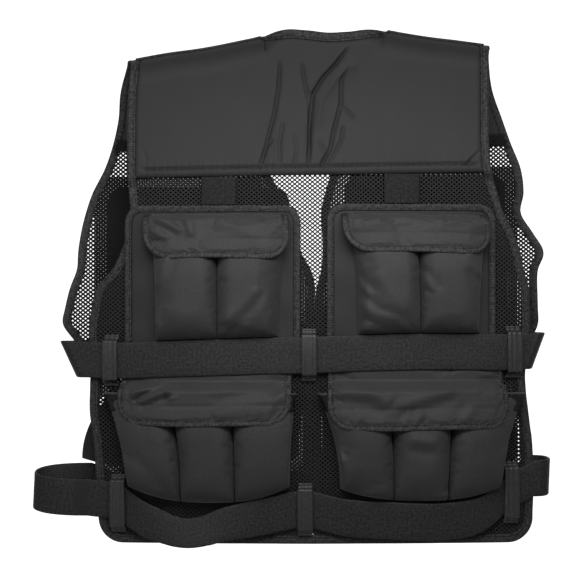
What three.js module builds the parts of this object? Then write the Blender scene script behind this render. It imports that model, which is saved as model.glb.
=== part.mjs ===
// Weighted vest with a mesh body, padded yoke, eight weight pockets and two webbing belts.
// Millimetres, +Z up. The back of the vest faces -Y, and x grows to the right of somebody looking at it.
// The cloth is laid out in a flat plane (x, h): h is the height, and over the shoulder the length
// along the bend.
import * as THREE from "three";

// Driving sizes
const vestHeight = 605;
const waistWidth = 576;
const shoulderRadius = 28;
const shoulderDrop = 30;
const bodyDepth = 62;
const backYokeDepth = 162;
const frontYokeDepth = 127;
const yokeTilt = 5;
const yokeLap = 16;
const neckLeft = -52;
const neckRight = 88;
const neckCorner = 45;
const neckStand = 0.26;
const edgeCorner = 30;
const depthPower = 2.4;

// Thicknesses and clearances
const netThickness = 2;
const yokeThickness = 4.5;
const backingThickness = 1.4;
const flapThickness = 2.2;
const bindingWidth = 10;
const bindingThickness = 3.2;
const flapBindingWidth = 8;
const webbingThickness = 2.2;
const hookTapeThickness = 1.4;
const loopThickness = 1.4;
const seamGap = 0.3;
const edgeGap = 0.5;
const layerGap = 0.8;

// Belts, loops and buckles
const beltWidth = 44;
const loopWidth = 18;
const loopFoot = 6;
const loopSlack = 3;
const strapWidth = 43;
const buckleWidth = 62;
const buckleOverlap = 6;
const buckleThickness = 7;
const tapeWidth = 14;
const hookTapeWidth = 20;
const hookTapeDrop = 1.5;
const buckleCorner = 8;
const buckleBevel = 1.5;
const loopBow = 1.15;
const turnPower = 2 / 2.6;

// Pockets
const backPocketDepth = 24;
const frontPocketDepth = 22;
const flapCorner = 30;
const backingCorner = 20;
const mouthShare = 0.62;
const sideDrop = 0.72;
const sidePower = 7;
const bottomDrop = 0.6;
const bottomPower = 6;
const creaseDrop = 0.3;
const creaseWidth = 0.14;
const coverDrop = 0.3;
const coverPower = 5;
const sagPower = 2.5;
const flapBindingSink = 0.2;

const halfSpan = waistWidth / 2;
const foldLength = shoulderRadius * Math.PI / 2;
const netFace = netThickness / 2;
const onNet = netFace + layerGap;
const onBacking = onNet + backingThickness + layerGap;
const back = -1;
const front = 1;

// Edges of the back panel at each level: down is a share of vestHeight, the others are shares of halfSpan.
const backBorders = [
  { down: 0.03, left: -0.742, right: 0.750 },
  { down: 0.09, left: -0.760, right: 0.750 },
  { down: 0.15, left: -0.765, right: 0.750 },
  { down: 0.20, left: -0.765, right: 0.750 },
  { down: 0.25, left: -0.765, right: 0.756 },
  { down: 0.30, left: -0.759, right: 0.785 },
  { down: 0.34, left: -0.753, right: 0.811 },
  { down: 0.38, left: -0.763, right: 0.854 },
  { down: 0.42, left: -0.792, right: 0.883 },
  { down: 0.455, left: -0.829, right: 0.898 },
  { down: 0.49, left: -0.893, right: 0.919 },
  { down: 0.53, left: -0.916, right: 0.924 },
  { down: 0.565, left: -0.928, right: 0.926 },
  { down: 0.60, left: -0.929, right: 0.922 },
  { down: 0.665, left: -0.923, right: 0.905 },
  { down: 0.74, left: -0.925, right: 0.919 },
  { down: 0.80, left: -0.908, right: 0.935 },
  { down: 0.88, left: -0.898, right: 0.940 },
  { down: 0.96, left: -0.886, right: 0.936 },
];

// Edges of the two front panels: vLeft and vRight are those that meet at the neck and the middle.
const frontBorders = [
  { down: 0.03, left: -0.758, right: 0.762, vLeft: -0.184, vRight: 0.317 },
  { down: 0.09, left: -0.804, right: 0.779, vLeft: -0.184, vRight: 0.280 },
  { down: 0.15, left: -0.815, right: 0.822, vLeft: -0.184, vRight: 0.219 },
  { down: 0.20, left: -0.837, right: 0.859, vLeft: -0.181, vRight: 0.157 },
  { down: 0.25, left: -0.872, right: 0.900, vLeft: -0.175, vRight: 0.100 },
  { down: 0.30, left: -0.925, right: 0.912, vLeft: -0.121, vRight: 0.066 },
  { down: 0.34, left: -0.953, right: 0.900, vLeft: -0.070, vRight: 0.049 },
  { down: 0.38, left: -0.973, right: 0.951, vLeft: -0.049, vRight: 0.054 },
  { down: 0.42, left: -0.985, right: 0.996, vLeft: -0.034, vRight: 0.056 },
  { down: 0.455, left: -0.990, right: 0.971, vLeft: 0.007, vRight: 0.050 },
  { down: 0.49, left: -1.017, right: 0.969, vLeft: 0.025, vRight: 0.031 },
  { down: 0.53, left: -1.037, right: 0.971, vLeft: 0.021, vRight: 0.027 },
  { down: 0.565, left: -1.047, right: 0.971, vLeft: 0.017, vRight: 0.023 },
  { down: 0.60, left: -0.998, right: 0.940, vLeft: 0.013, vRight: 0.019 },
  { down: 0.665, left: -0.922, right: 0.894, vLeft: 0.011, vRight: 0.017 },
  { down: 0.74, left: -0.932, right: 0.920, vLeft: 0.010, vRight: 0.016 },
  { down: 0.80, left: -0.922, right: 0.930, vLeft: 0.010, vRight: 0.016 },
  { down: 0.88, left: -0.901, right: 0.935, vLeft: 0.010, vRight: 0.016 },
  { down: 0.96, left: -0.886, right: 0.930, vLeft: 0.010, vRight: 0.016 },
];
const borders = {
  backLeft: [backBorders, "left"],
  backRight: [backBorders, "right"],
  frontLeft: [frontBorders, "left"],
  frontRight: [frontBorders, "right"],
  vLeft: [frontBorders, "vLeft"],
  vRight: [frontBorders, "vRight"],
};

// Top line of the vest: across is a share of halfSpan, fall is a share of shoulderDrop below the neck level.
const topLine = [
  { across: -0.76, fall: 0.93 },
  { across: -0.60, fall: 0.65 },
  { across: -0.45, fall: 0.45 },
  { across: -0.30, fall: 0.17 },
  { across: -0.20, fall: -0.05 },
  { across: -0.10, fall: -0.42 },
  { across: 0.00, fall: -0.39 },
  { across: 0.08, fall: -0.31 },
  { across: 0.16, fall: -0.35 },
  { across: 0.25, fall: -0.41 },
  { across: 0.32, fall: -0.29 },
  { across: 0.40, fall: -0.15 },
  { across: 0.50, fall: 0.00 },
  { across: 0.62, fall: 0.14 },
  { across: 0.76, fall: 0.32 },
];

// Depth of the cloth from the plane of the shoulders in shares of bodyDepth, at the middle and the sides.
const depths = [
  { down: 0.06, middle: 0.45, side: 0.45 },
  { down: 0.25, middle: 0.76, side: 0.42 },
  { down: 0.45, middle: 0.95, side: 0.31 },
  { down: 0.62, middle: 1.00, side: 0.28 },
  { down: 0.85, middle: 0.95, side: 0.28 },
  { down: 1.00, middle: 0.88, side: 0.28 },
];

// Folds of the back yoke: ends in shares of halfSpan and vestHeight, width and height in shares of
// yokeThickness.
const yokeFolds = [
  { fromAcross: 0.15, fromDown: 0.03, toAcross: 0.00, toDown: 0.12, width: 1.6, height: 1.1 },
  { fromAcross: 0.00, fromDown: 0.12, toAcross: 0.00, toDown: 0.28, width: 1.5, height: 1.0 },
  { fromAcross: -0.12, fromDown: 0.05, toAcross: -0.20, toDown: 0.27, width: 1.8, height: 0.7 },
  { fromAcross: 0.14, fromDown: 0.07, toAcross: 0.08, toDown: 0.27, width: 1.8, height: 0.7 },
];

// Pockets: across in shares of halfSpan, down in shares of vestHeight. The flap starts at its seam,
// begins to rise at flapRise and lies over the mouth.
const pockets = [
  { name: "back_upper_left", side: back, channels: 2, onBacking: true,
    topLeft: -0.665, topRight: -0.095, bottomLeft: -0.640, bottomRight: -0.130,
    top: 0.362, bottom: 0.586, sag: 0.000, flapSeam: 0.345, flapRise: 0.345, flapBottom: 0.436,
    seamLeft: -0.690, seamRight: -0.095, flapLeft: -0.680, flapRight: -0.075 },
  { name: "back_upper_right", side: back, channels: 2, onBacking: true,
    topLeft: 0.165, topRight: 0.735, bottomLeft: 0.200, bottomRight: 0.705,
    top: 0.360, bottom: 0.576, sag: 0.000, flapSeam: 0.345, flapRise: 0.345, flapBottom: 0.424,
    seamLeft: 0.130, seamRight: 0.732, flapLeft: 0.140, flapRight: 0.755 },
  { name: "back_lower_left", side: back, channels: 3, onBacking: false, hookTape: true,
    topLeft: -0.860, topRight: -0.060, bottomLeft: -0.760, bottomRight: -0.085,
    top: 0.700, bottom: 0.886, sag: 0.032, flapSeam: 0.650, flapRise: 0.676, flapBottom: 0.764,
    seamLeft: -0.785, seamRight: -0.075, flapLeft: -0.790, flapRight: -0.085 },
  { name: "back_lower_right", side: back, channels: 3, onBacking: false, hookTape: true,
    topLeft: 0.030, topRight: 0.895, bottomLeft: 0.125, bottomRight: 0.795,
    top: 0.700, bottom: 0.882, sag: 0.024, flapSeam: 0.650, flapRise: 0.674, flapBottom: 0.772,
    seamLeft: 0.075, seamRight: 0.800, flapLeft: 0.070, flapRight: 0.815 },
  { name: "front_upper_left", side: front, channels: 2, onBacking: true,
    topLeft: -0.820, topRight: -0.150, bottomLeft: -0.800, bottomRight: -0.150,
    top: 0.370, bottom: 0.560, sag: 0.000, flapSeam: 0.345, flapRise: 0.345, flapBottom: 0.440,
    seamLeft: -0.830, seamRight: -0.135, flapLeft: -0.830, flapRight: -0.135 },
  { name: "front_upper_right", side: front, channels: 2, onBacking: true,
    topLeft: 0.200, topRight: 0.790, bottomLeft: 0.200, bottomRight: 0.780,
    top: 0.370, bottom: 0.560, sag: 0.000, flapSeam: 0.345, flapRise: 0.345, flapBottom: 0.440,
    seamLeft: 0.180, seamRight: 0.800, flapLeft: 0.180, flapRight: 0.800 },
  { name: "front_lower_left", side: front, channels: 3, onBacking: false,
    topLeft: -0.860, topRight: -0.030, bottomLeft: -0.935, bottomRight: -0.045,
    top: 0.712, bottom: 0.836, sag: 0.030, flapSeam: 0.694, flapRise: 0.694, flapBottom: 0.775,
    seamLeft: -0.850, seamRight: -0.020, flapLeft: -0.850, flapRight: -0.020 },
  { name: "front_lower_right", side: front, channels: 3, onBacking: false,
    topLeft: 0.050, topRight: 0.870, bottomLeft: 0.060, bottomRight: 0.880,
    top: 0.712, bottom: 0.836, sag: 0.030, flapSeam: 0.694, flapRise: 0.694, flapBottom: 0.775,
    seamLeft: 0.045, seamRight: 0.850, flapLeft: 0.045, flapRight: 0.850 },
];

// Backings under the upper pockets: shares as in the pockets.
const backings = [
  { name: "back_left", side: back, left: -0.772, right: -0.040,
    top: 0.328, bottom: 0.615, binding: true },
  { name: "back_right", side: back, left: 0.070, right: 0.775,
    top: 0.325, bottom: 0.605, binding: true },
  { name: "front_left", side: front, left: -0.860, right: -0.085,
    top: 0.288, bottom: 0.612, binding: false },
  { name: "front_right", side: front, left: 0.150, right: 0.835,
    top: 0.262, bottom: 0.602, binding: false },
];

// Runs of the belts: across in shares of halfSpan, top in shares of vestHeight, stand in shares of
// beltWidth.
const upperBackRun = [
  { across: -0.99, top: 0.598, stand: 0.085 },
  { across: -0.83, top: 0.600, stand: 0.085 },
  { across: -0.50, top: 0.595, stand: 0.085 },
  { across: 0.00, top: 0.588, stand: 0.085 },
  { across: 0.45, top: 0.582, stand: 0.085 },
  { across: 0.85, top: 0.583, stand: 0.085 },
  { across: 0.94, top: 0.581, stand: 0.085 },
];
const upperFrontRun = [
  { across: -0.99, top: 0.598, stand: 0.045 },
  { across: 0.00, top: 0.592, stand: 0.045 },
  { across: 0.94, top: 0.581, stand: 0.045 },
];
const lowerBackRun = [
  { across: -0.92, top: 0.874, stand: 0.05 },
  { across: -0.80, top: 0.882, stand: 0.02 },
  { across: -0.75, top: 0.896, stand: 0.08 },
  { across: -0.69, top: 0.915, stand: 0.15 },
  { across: -0.62, top: 0.930, stand: 0.20 },
  { across: -0.56, top: 0.943, stand: 0.23 },
  { across: -0.50, top: 0.948, stand: 0.24 },
  { across: -0.44, top: 0.942, stand: 0.23 },
  { across: -0.36, top: 0.928, stand: 0.20 },
  { across: -0.20, top: 0.911, stand: 0.12 },
  { across: -0.02, top: 0.896, stand: 0.02 },
  { across: 0.14, top: 0.915, stand: 0.12 },
  { across: 0.36, top: 0.925, stand: 0.20 },
  { across: 0.56, top: 0.926, stand: 0.20 },
  { across: 0.72, top: 0.912, stand: 0.12 },
  { across: 0.84, top: 0.862, stand: 0.02 },
  { across: 0.94, top: 0.836, stand: 0.04 },
];
const lowerFrontRun = [
  { across: -0.92, top: 0.846, stand: 0.10 },
  { across: -0.82, top: 0.868, stand: 0.10 },
  { across: -0.60, top: 0.905, stand: 0.14 },
  { across: 0.00, top: 0.900, stand: 0.03 },
  { across: 0.60, top: 0.905, stand: 0.14 },
  { across: 0.82, top: 0.862, stand: 0.08 },
  { across: 0.94, top: 0.830, stand: 0.05 },
];

// Ends of the belts beyond their runs, in millimetres, with lean as the inward slant of the lower edge.
const belts = [
  { name: "upper", backRun: upperBackRun, frontRun: upperFrontRun,
    reachLeft: 14, reachRight: 11, leanLeft: 20, leanRight: 16 },
  { name: "lower", backRun: lowerBackRun, frontRun: lowerFrontRun,
    reachLeft: 66, reachRight: 18, leanLeft: -2, leanRight: 2 },
];

// Belt loops: across in shares of halfSpan.
const loops = [
  { name: "back_upper_left", side: back, belt: 0, across: -0.830 },
  { name: "back_upper_middle", side: back, belt: 0, across: -0.004 },
  { name: "back_upper_right", side: back, belt: 0, across: 0.850 },
  { name: "back_lower_left", side: back, belt: 1, across: -0.800 },
  { name: "back_lower_middle", side: back, belt: 1, across: -0.020 },
  { name: "back_lower_right", side: back, belt: 1, across: 0.840 },
  { name: "front_upper_left", side: front, belt: 0, across: -0.480, onBacking: true },
  { name: "front_upper_right", side: front, belt: 0, across: 0.480, onBacking: true },
];

const nylon = new THREE.MeshStandardMaterial({ color: 0x37373a, roughness: 0.55, metalness: 0 });
const netCloth = new THREE.MeshStandardMaterial({ color: 0x1c1c1e, roughness: 0.9, metalness: 0 });
const webbing = new THREE.MeshStandardMaterial({ color: 0x28282a, roughness: 0.8, metalness: 0 });
const tape = new THREE.MeshStandardMaterial({ color: 0x222224, roughness: 0.85, metalness: 0 });
const plastic = new THREE.MeshStandardMaterial({ color: 0x161617, roughness: 0.45, metalness: 0 });

const vest = new THREE.Group();

const mix = (a, b, t) => a + (b - a) * t;
const clamp = (value, low, high) => Math.min(high, Math.max(low, value));
const smooth = (t) => {
  const k = clamp(t, 0, 1);
  return k * k * (3 - 2 * k);
};

// Value of a table's column at a place, on a smooth curve through the rows.
function lookUp(rows, key, name, at) {
  const last = rows.length - 1;
  const place = clamp(at, rows[0][key], rows[last][key]);
  let i = 0;
  while (i < last - 1 && place > rows[i + 1][key]) i += 1;
  const slope = (a, b) => (rows[b][name] - rows[a][name]) / (rows[b][key] - rows[a][key]);
  const here = slope(i, i + 1);
  const before = i > 0 ? (slope(i - 1, i) + here) / 2 : here;
  const after = i < last - 1 ? (here + slope(i + 1, i + 2)) / 2 : here;
  const step = rows[i + 1][key] - rows[i][key];
  const t = (place - rows[i][key]) / step;
  const bend = (before * (1 - t) - after * t) * t * (1 - t) * step;
  return mix(rows[i][name], rows[i + 1][name], t * t * (3 - 2 * t)) + bend;
}

const levelOf = (down) => -down * vestHeight;
const edgeAt = (name, h) => {
  const [rows, column] = borders[name];
  return halfSpan * lookUp(rows, "down", column, -h / vestHeight);
};

// Length cut away from the back at the neck, measured from the ridge of the shoulder.
function neckCut(x) {
  const inside = Math.min(x - neckLeft, neckRight - x);
  const depth = foldLength * (1 - neckStand);
  if (inside <= 0) return 0;
  const k = clamp(1 - inside / neckCorner, 0, 1);
  return depth * Math.sqrt(1 - k * k);
}

// Height of the ridge of the shoulder. Behind the neck the cloth stands up straight instead of bending over.
function ridge(side, x) {
  const top = -shoulderDrop * lookUp(topLine, "across", "fall", x / halfSpan);
  if (side === front) return top;
  return top + shoulderRadius * (1 - Math.cos(neckCut(x) / shoulderRadius));
}

const foldLevel = (side, x) => ridge(side, x) - shoulderRadius;
const ridgeHeight = (side, x) => foldLevel(side, x) + foldLength;

function depthAt(side, x, h) {
  const down = -h / vestHeight;
  const middle = bodyDepth * lookUp(depths, "down", "middle", down);
  const sideDepth = bodyDepth * lookUp(depths, "down", "side", down);
  const target = mix(middle, sideDepth, Math.abs(x / halfSpan) ** depthPower);
  const below = (foldLevel(side, x) - h) / backYokeDepth;
  return mix(shoulderRadius, target, smooth(below));
}

function clothPoint(side, x, h) {
  const along = foldLength + foldLevel(side, x) - h;
  if (along >= foldLength) return new THREE.Vector3(x, side * depthAt(side, x, h), h);
  const turn = along / shoulderRadius;
  const z = foldLevel(side, x) + shoulderRadius * Math.cos(turn);
  return new THREE.Vector3(x, side * shoulderRadius * Math.sin(turn), z);
}

// Point at a distance outwards from the middle of the net.
function lift(side, x, h, out) {
  const step = 0.5;
  const across = clothPoint(side, x + step, h).sub(clothPoint(side, x - step, h));
  const down = clothPoint(side, x, h - step).sub(clothPoint(side, x, h + step));
  const normal = across.cross(down).normalize().multiplyScalar(side);
  return clothPoint(side, x, h).addScaledVector(normal, out);
}

const flat = (x, h) => new THREE.Vector2(x, h);

// Closed mesh from vertices and triangles, turned so that its faces point outwards.
function solid(points, faces) {
  let volume = 0;
  for (const [a, b, c] of faces) {
    volume += points[a].dot(points[b].clone().cross(points[c]));
  }
  const geometry = new THREE.BufferGeometry();
  const places = points.flatMap((p) => p.toArray());
  geometry.setAttribute("position", new THREE.Float32BufferAttribute(places, 3));
  geometry.setIndex(faces.flatMap(([a, b, c]) => (volume > 0 ? [a, b, c] : [a, c, b])));
  geometry.computeVertexNormals();
  return geometry;
}

function add(name, geometry, material) {
  const mesh = new THREE.Mesh(geometry, material);
  mesh.name = name;
  vest.add(mesh);
}

// Closed shell between two layers of points, each given row by row.
function layered(points, rows, columns) {
  const at = (layer, j, i) => layer * rows * columns + j * columns + i;
  const faces = [];
  const quad = (a, b, c, d) => faces.push([a, b, c], [a, c, d]);
  for (let j = 0; j < rows - 1; j += 1) {
    for (let i = 0; i < columns - 1; i += 1) {
      quad(at(1, j, i), at(1, j, i + 1), at(1, j + 1, i + 1), at(1, j + 1, i));
      quad(at(0, j, i), at(0, j + 1, i), at(0, j + 1, i + 1), at(0, j, i + 1));
    }
  }
  const lastRow = rows - 1;
  const lastColumn = columns - 1;
  for (let i = 0; i < lastColumn; i += 1) {
    quad(at(0, 0, i), at(0, 0, i + 1), at(1, 0, i + 1), at(1, 0, i));
    quad(at(1, lastRow, i), at(1, lastRow, i + 1), at(0, lastRow, i + 1), at(0, lastRow, i));
  }
  for (let j = 0; j < lastRow; j += 1) {
    quad(at(1, j, 0), at(1, j + 1, 0), at(0, j + 1, 0), at(0, j, 0));
    quad(at(0, j, lastColumn), at(0, j + 1, lastColumn), at(1, j + 1, lastColumn), at(1, j, lastColumn));
  }
  return solid(points, faces);
}

// Closed shell over a grid of flat points, between an inner and an outer offset.
function shell(side, grid, inner, outer) {
  const points = [];
  for (const offset of [inner, outer]) {
    grid.forEach((row, j) => {
      row.forEach((p, i) => points.push(lift(side, p.x, p.y, offset(p.x, p.y, j, i))));
    });
  }
  return layered(points, grid.length, grid[0].length);
}

// Closed strip through four-cornered sections, open at its ends or joined into a ring.
function strip(sections, ring = false) {
  const points = sections.flat();
  const faces = [];
  const count = sections.length;
  const quad = (a, b, c, d) => faces.push([a, b, c], [a, c, d]);
  for (let k = 0; k < (ring ? count : count - 1); k += 1) {
    const next = (k + 1) % count;
    for (let i = 0; i < 4; i += 1) {
      const j = (i + 1) % 4;
      quad(4 * k + i, 4 * k + j, 4 * next + j, 4 * next + i);
    }
  }
  if (!ring) {
    const end = 4 * (count - 1);
    quad(3, 2, 1, 0);
    quad(end, end + 1, end + 2, end + 3);
  }
  return solid(points, faces);
}

// Grid between four borders, as a Coons patch.
function patch(top, bottom, left, right) {
  const rows = left.length - 1;
  const columns = top.length - 1;
  const grid = [];
  for (let j = 0; j <= rows; j += 1) {
    const v = j / rows;
    const row = [];
    for (let i = 0; i <= columns; i += 1) {
      const u = i / columns;
      const blend = (name) => {
        const straight = mix(top[i][name], bottom[i][name], v) + mix(left[j][name], right[j][name], u);
        const upper = mix(top[0][name], top[columns][name], u);
        const lower = mix(bottom[0][name], bottom[columns][name], u);
        return straight - mix(upper, lower, v);
      };
      row.push(flat(blend("x"), blend("y")));
    }
    grid.push(row);
  }
  return grid;
}

function line(from, to, count) {
  return Array.from({ length: count + 1 }, (_, i) => from.clone().lerp(to, i / count));
}

// Path moved sideways: a positive distance goes to the left of its direction.
function moved(path, distance) {
  return path.map((p, i) => {
    const before = path[Math.max(0, i - 1)];
    const after = path[Math.min(path.length - 1, i + 1)];
    const a = p.clone().sub(before);
    const b = after.clone().sub(p);
    const first = (a.length() > 0 ? a : b).clone().normalize();
    const second = (b.length() > 0 ? b : a).clone().normalize();
    const middle = first.clone().add(second).normalize();
    const reach = distance / Math.max(0.5, middle.dot(first));
    return flat(p.x - middle.y * reach, p.y + middle.x * reach);
  });
}

// Border of the sheet inside a binding: the ends that lie at the shoulder seam move along the seam.
function inset(side, path, distance) {
  const points = moved(path, distance);
  for (const k of [0, path.length - 1]) {
    const seam = ridgeHeight(side, path[k].x) - seamGap / 2;
    if (Math.abs(path[k].y - seam) < seamGap) {
      const x = path[k].x + Math.abs(distance) * Math.sign(points[k].x - path[k].x);
      points[k] = flat(x, ridgeHeight(side, x) - seamGap / 2);
    }
  }
  return points;
}

// Quarter turn between two flat directions, from start to end round a corner.
function corner(start, tip, end, count) {
  const points = [];
  for (let k = 0; k <= count; k += 1) {
    const angle = (k / count) * Math.PI / 2;
    const a = 1 - Math.sin(angle);
    const b = 1 - Math.cos(angle);
    const x = tip.x + (start.x - tip.x) * a + (end.x - tip.x) * b;
    const y = tip.y + (start.y - tip.y) * a + (end.y - tip.y) * b;
    points.push(flat(x, y));
  }
  return points;
}

// Binding along a path: its outer edge is the path, and its inner edge meets the sheet.
function binding(side, outer, width, low, high) {
  const inner = inset(side, outer, width);
  return strip(outer.map((p, k) => {
    const q = inner[k];
    const thin = typeof low === "function" ? low(p) : low;
    const thick = typeof high === "function" ? high(p) : high;
    const corners = [[p, thin], [q, thin], [q, thick], [p, thick]];
    return corners.map(([at, out]) => lift(side, at.x, at.y, out));
  }));
}

const sheetInset = bindingWidth + edgeGap;
const foldTurns = [0, Math.PI / 6, Math.PI / 3, Math.PI / 2];
const cornerSteps = 3;

// Heights of the rows of a panel below its yoke.
const lowerLevels = [0.33, 0.38, 0.42, 0.455, 0.49, 0.53, 0.57, 0.61, 0.665, 0.74, 0.82];
const hemAt = (side, x) => yokeTilt * x / halfSpan - (side === back ? backYokeDepth : frontYokeDepth);

// One edge of a panel from the ridge of the shoulder to the end of its bottom corner.
function edgeOf(side, name, inward) {
  const points = [];
  const tip = edgeAt(name, -shoulderDrop);
  for (const turn of foldTurns) {
    const z = foldLevel(side, tip) + shoulderRadius * Math.cos(turn);
    const x = edgeAt(name, z);
    const cut = turn === 0 ? seamGap / 2 : turn * shoulderRadius;
    points.push(flat(x, ridgeHeight(side, x) - cut));
  }
  const hem = hemAt(side, tip);
  const fold = points[points.length - 1].y;
  const place = (h) => points.push(flat(edgeAt(name, h), h));
  place(mix(fold, hem + yokeLap, 0.5));
  place(hem + yokeLap);
  place(hem);
  for (const down of lowerLevels) place(levelOf(down));
  const start = points[points.length - 1];
  const bottom = levelOf(1);
  const radius = Math.min(edgeCorner, start.y - bottom);
  const above = flat(edgeAt(name, bottom + radius), bottom + radius);
  const beside = flat(above.x + inward * radius, bottom);
  points.push(...corner(above, flat(above.x, bottom), beside, cornerSteps));
  return points;
}

const lapRow = foldTurns.length + 1;
const hemRow = lapRow + 1;

// Outline of a panel or a flap: down its left edge, along the bottom and up its right edge.
function roundPath(left, right, count) {
  const bottom = line(left[left.length - 1], right[right.length - 1], count);
  return [...left, ...bottom.slice(1, -1), ...right.slice().reverse()];
}

function netPanel(side, left, right, columns) {
  const path = inset(side, roundPath(left, right, columns), sheetInset);
  const rows = left.length;
  const innerLeft = path.slice(lapRow, rows);
  const innerBottom = path.slice(rows - 1, rows + columns);
  const innerRight = path.slice(rows + columns - 1).reverse().slice(lapRow);
  const top = line(innerLeft[0], innerRight[0], columns);
  return patch(top, innerBottom, innerLeft, innerRight);
}

const seamPoint = (side, x) => flat(x, ridgeHeight(side, x) - seamGap / 2);
const yokeBase = onNet;
const yokeTop = yokeBase + yokeThickness;

// Offsets of the binding of a panel, which is thicker where it holds the yoke.
function bindingFaces(side) {
  const onYoke = (p) => smooth((p.y - hemAt(side, p.x)) / bindingWidth + 1);
  return {
    low: (p) => mix(-bindingThickness / 2, yokeBase - layerGap, onYoke(p)),
    high: (p) => mix(bindingThickness / 2, yokeTop + layerGap, onYoke(p)),
  };
}

// Back panel, its yoke, and the binding from one shoulder round the bottom to the other
const backColumns = 12;
const backEdges = { left: edgeOf(back, "backLeft", 1), right: edgeOf(back, "backRight", -1) };
const backNet = netPanel(back, backEdges.left, backEdges.right, backColumns);
add("back_panel", shell(back, backNet, () => -netFace, () => netFace), netCloth);
const backFaces = bindingFaces(back);
const backPath = roundPath(backEdges.left, backEdges.right, backColumns);
add("back_binding", binding(back, backPath, bindingWidth, backFaces.low, backFaces.high), tape);

// Outline of the neck behind the head, from the left shoulder to the right one.
function neckPath() {
  const points = [];
  const steps = 6;
  const place = (x, cut) => points.push(flat(x, ridgeHeight(back, x) - cut));
  for (let k = 0; k <= steps; k += 1) {
    const x = neckLeft + neckCorner * (1 - Math.cos((k / steps) * Math.PI / 2));
    place(x, Math.max(seamGap / 2, neckCut(x)));
  }
  const middles = 3;
  for (let k = 1; k < middles; k += 1) {
    const x = mix(neckLeft + neckCorner, neckRight - neckCorner, k / middles);
    place(x, neckCut(x));
  }
  for (let k = steps; k >= 0; k -= 1) {
    const x = neckRight - neckCorner * (1 - Math.cos((k / steps) * Math.PI / 2));
    place(x, Math.max(seamGap / 2, neckCut(x)));
  }
  return points;
}

function yokeFold(x, h) {
  let rise = 0;
  for (const fold of yokeFolds) {
    const from = flat(fold.fromAcross * halfSpan, levelOf(fold.fromDown));
    const to = flat(fold.toAcross * halfSpan, levelOf(fold.toDown));
    const along = to.clone().sub(from);
    const t = clamp(flat(x, h).sub(from).dot(along) / along.lengthSq(), 0, 1);
    const away = flat(x, h).distanceTo(from.addScaledVector(along, t));
    rise += fold.height * yokeThickness * Math.exp(-((away / (fold.width * yokeThickness)) ** 2));
  }
  return rise;
}

// Side borders of the back yoke, and the height of its hem between them
const leftEdge = inset(back, backEdges.left, sheetInset).slice(0, hemRow + 1);
const rightEdge = inset(back, backEdges.right, -sheetInset).slice(0, hemRow + 1);
function backHemAt(x) {
  const [from, to] = [leftEdge[hemRow], rightEdge[hemRow]];
  return mix(from.y, to.y, (x - from.x) / (to.x - from.x));
}

// Yoke over the back, with the neck cut out of its top edge
function backYoke() {
  const outer = neckPath();
  const inner = inset(back, outer, -sheetInset);
  const shoulderColumns = 6;
  const seam = (from, to) => line(from, to, shoulderColumns).map((p) => seamPoint(back, p.x));
  const leftSeam = seam(leftEdge[0], inner[0]).slice(0, -1);
  const rightSeam = seam(inner[inner.length - 1], rightEdge[0]).slice(1);
  const top = [...leftSeam, ...inner, ...rightSeam];
  const bottom = line(leftEdge[hemRow], rightEdge[hemRow], top.length - 1);
  const grid = patch(top, bottom, leftEdge, rightEdge);
  return shell(back, grid, (x, h) => yokeBase + yokeFold(x, h), (x, h) => yokeTop + yokeFold(x, h));
}
add("back_yoke", backYoke(), nylon);
const neckFaces = [yokeBase - layerGap, yokeTop + layerGap];
add("neck_binding", binding(back, neckPath(), -bindingWidth, neckFaces[0], neckFaces[1]), tape);

// Front panels with their yokes and bindings
const frontColumns = 6;
for (const half of ["left", "right"]) {
  const names = half === "left" ? ["frontLeft", "vLeft"] : ["vRight", "frontRight"];
  const left = edgeOf(front, names[0], 1);
  const right = edgeOf(front, names[1], -1);
  const net = netPanel(front, left, right, frontColumns);
  add(`front_panel_${half}`, shell(front, net, () => -netFace, () => netFace), netCloth);
  const faces = bindingFaces(front);
  const outline = roundPath(left, right, frontColumns);
  add(`front_binding_${half}`, binding(front, outline, bindingWidth, faces.low, faces.high), tape);
  const leftSide = inset(front, left, sheetInset).slice(0, hemRow + 1);
  const rightSide = inset(front, right, -sheetInset).slice(0, hemRow + 1);
  const seam = line(leftSide[0], rightSide[0], frontColumns).map((p) => seamPoint(front, p.x));
  const yoke = patch(seam, line(leftSide[hemRow], rightSide[hemRow], frontColumns), leftSide, rightSide);
  add(`front_yoke_${half}`, shell(front, yoke, () => yokeBase, () => yokeTop), nylon);
}

// Tape over each shoulder seam, lying on both yokes
function shoulderTape(from, to) {
  const count = 8;
  const turns = [-1, -0.5, 0, 0.5, 1];
  const low = yokeTop + layerGap;
  const points = [];
  for (const out of [low, low + backingThickness]) {
    for (let k = 0; k <= count; k += 1) {
      const x = mix(from, to, k / count);
      for (const turn of turns) {
        const side = turn < 0 ? back : front;
        const away = Math.abs(turn) * tapeWidth / 2;
        points.push(lift(side, x, ridgeHeight(side, x) - away, out));
      }
    }
  }
  return layered(points, count + 1, turns.length);
}
const tapeEnd = sheetInset + layerGap;
const shoulderLeft = edgeAt("backLeft", -shoulderDrop) + tapeEnd;
const shoulderRight = edgeAt("backRight", -shoulderDrop) - tapeEnd;
add("shoulder_tape_left", shoulderTape(shoulderLeft, neckLeft - tapeEnd), tape);
add("shoulder_tape_right", shoulderTape(neckRight + tapeEnd, shoulderRight), tape);

// Webbing straps from the hem of the yoke to the backings, across in shares of halfSpan
const straps = [
  { name: "back_strap_left", across: -0.380, backing: 0 },
  { name: "back_strap_right", across: 0.383, backing: 1 },
];
for (const row of straps) {
  const x = [-1, 0, 1].map((k) => row.across * halfSpan + k * strapWidth / 2);
  const end = levelOf(backings[row.backing].top) + edgeGap;
  const grid = [0, 1].map((t) => x.map((at) => flat(at, mix(backHemAt(at) - edgeGap, end, t))));
  add(row.name, shell(back, grid, () => onNet, () => onNet + webbingThickness), webbing);
}

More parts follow.
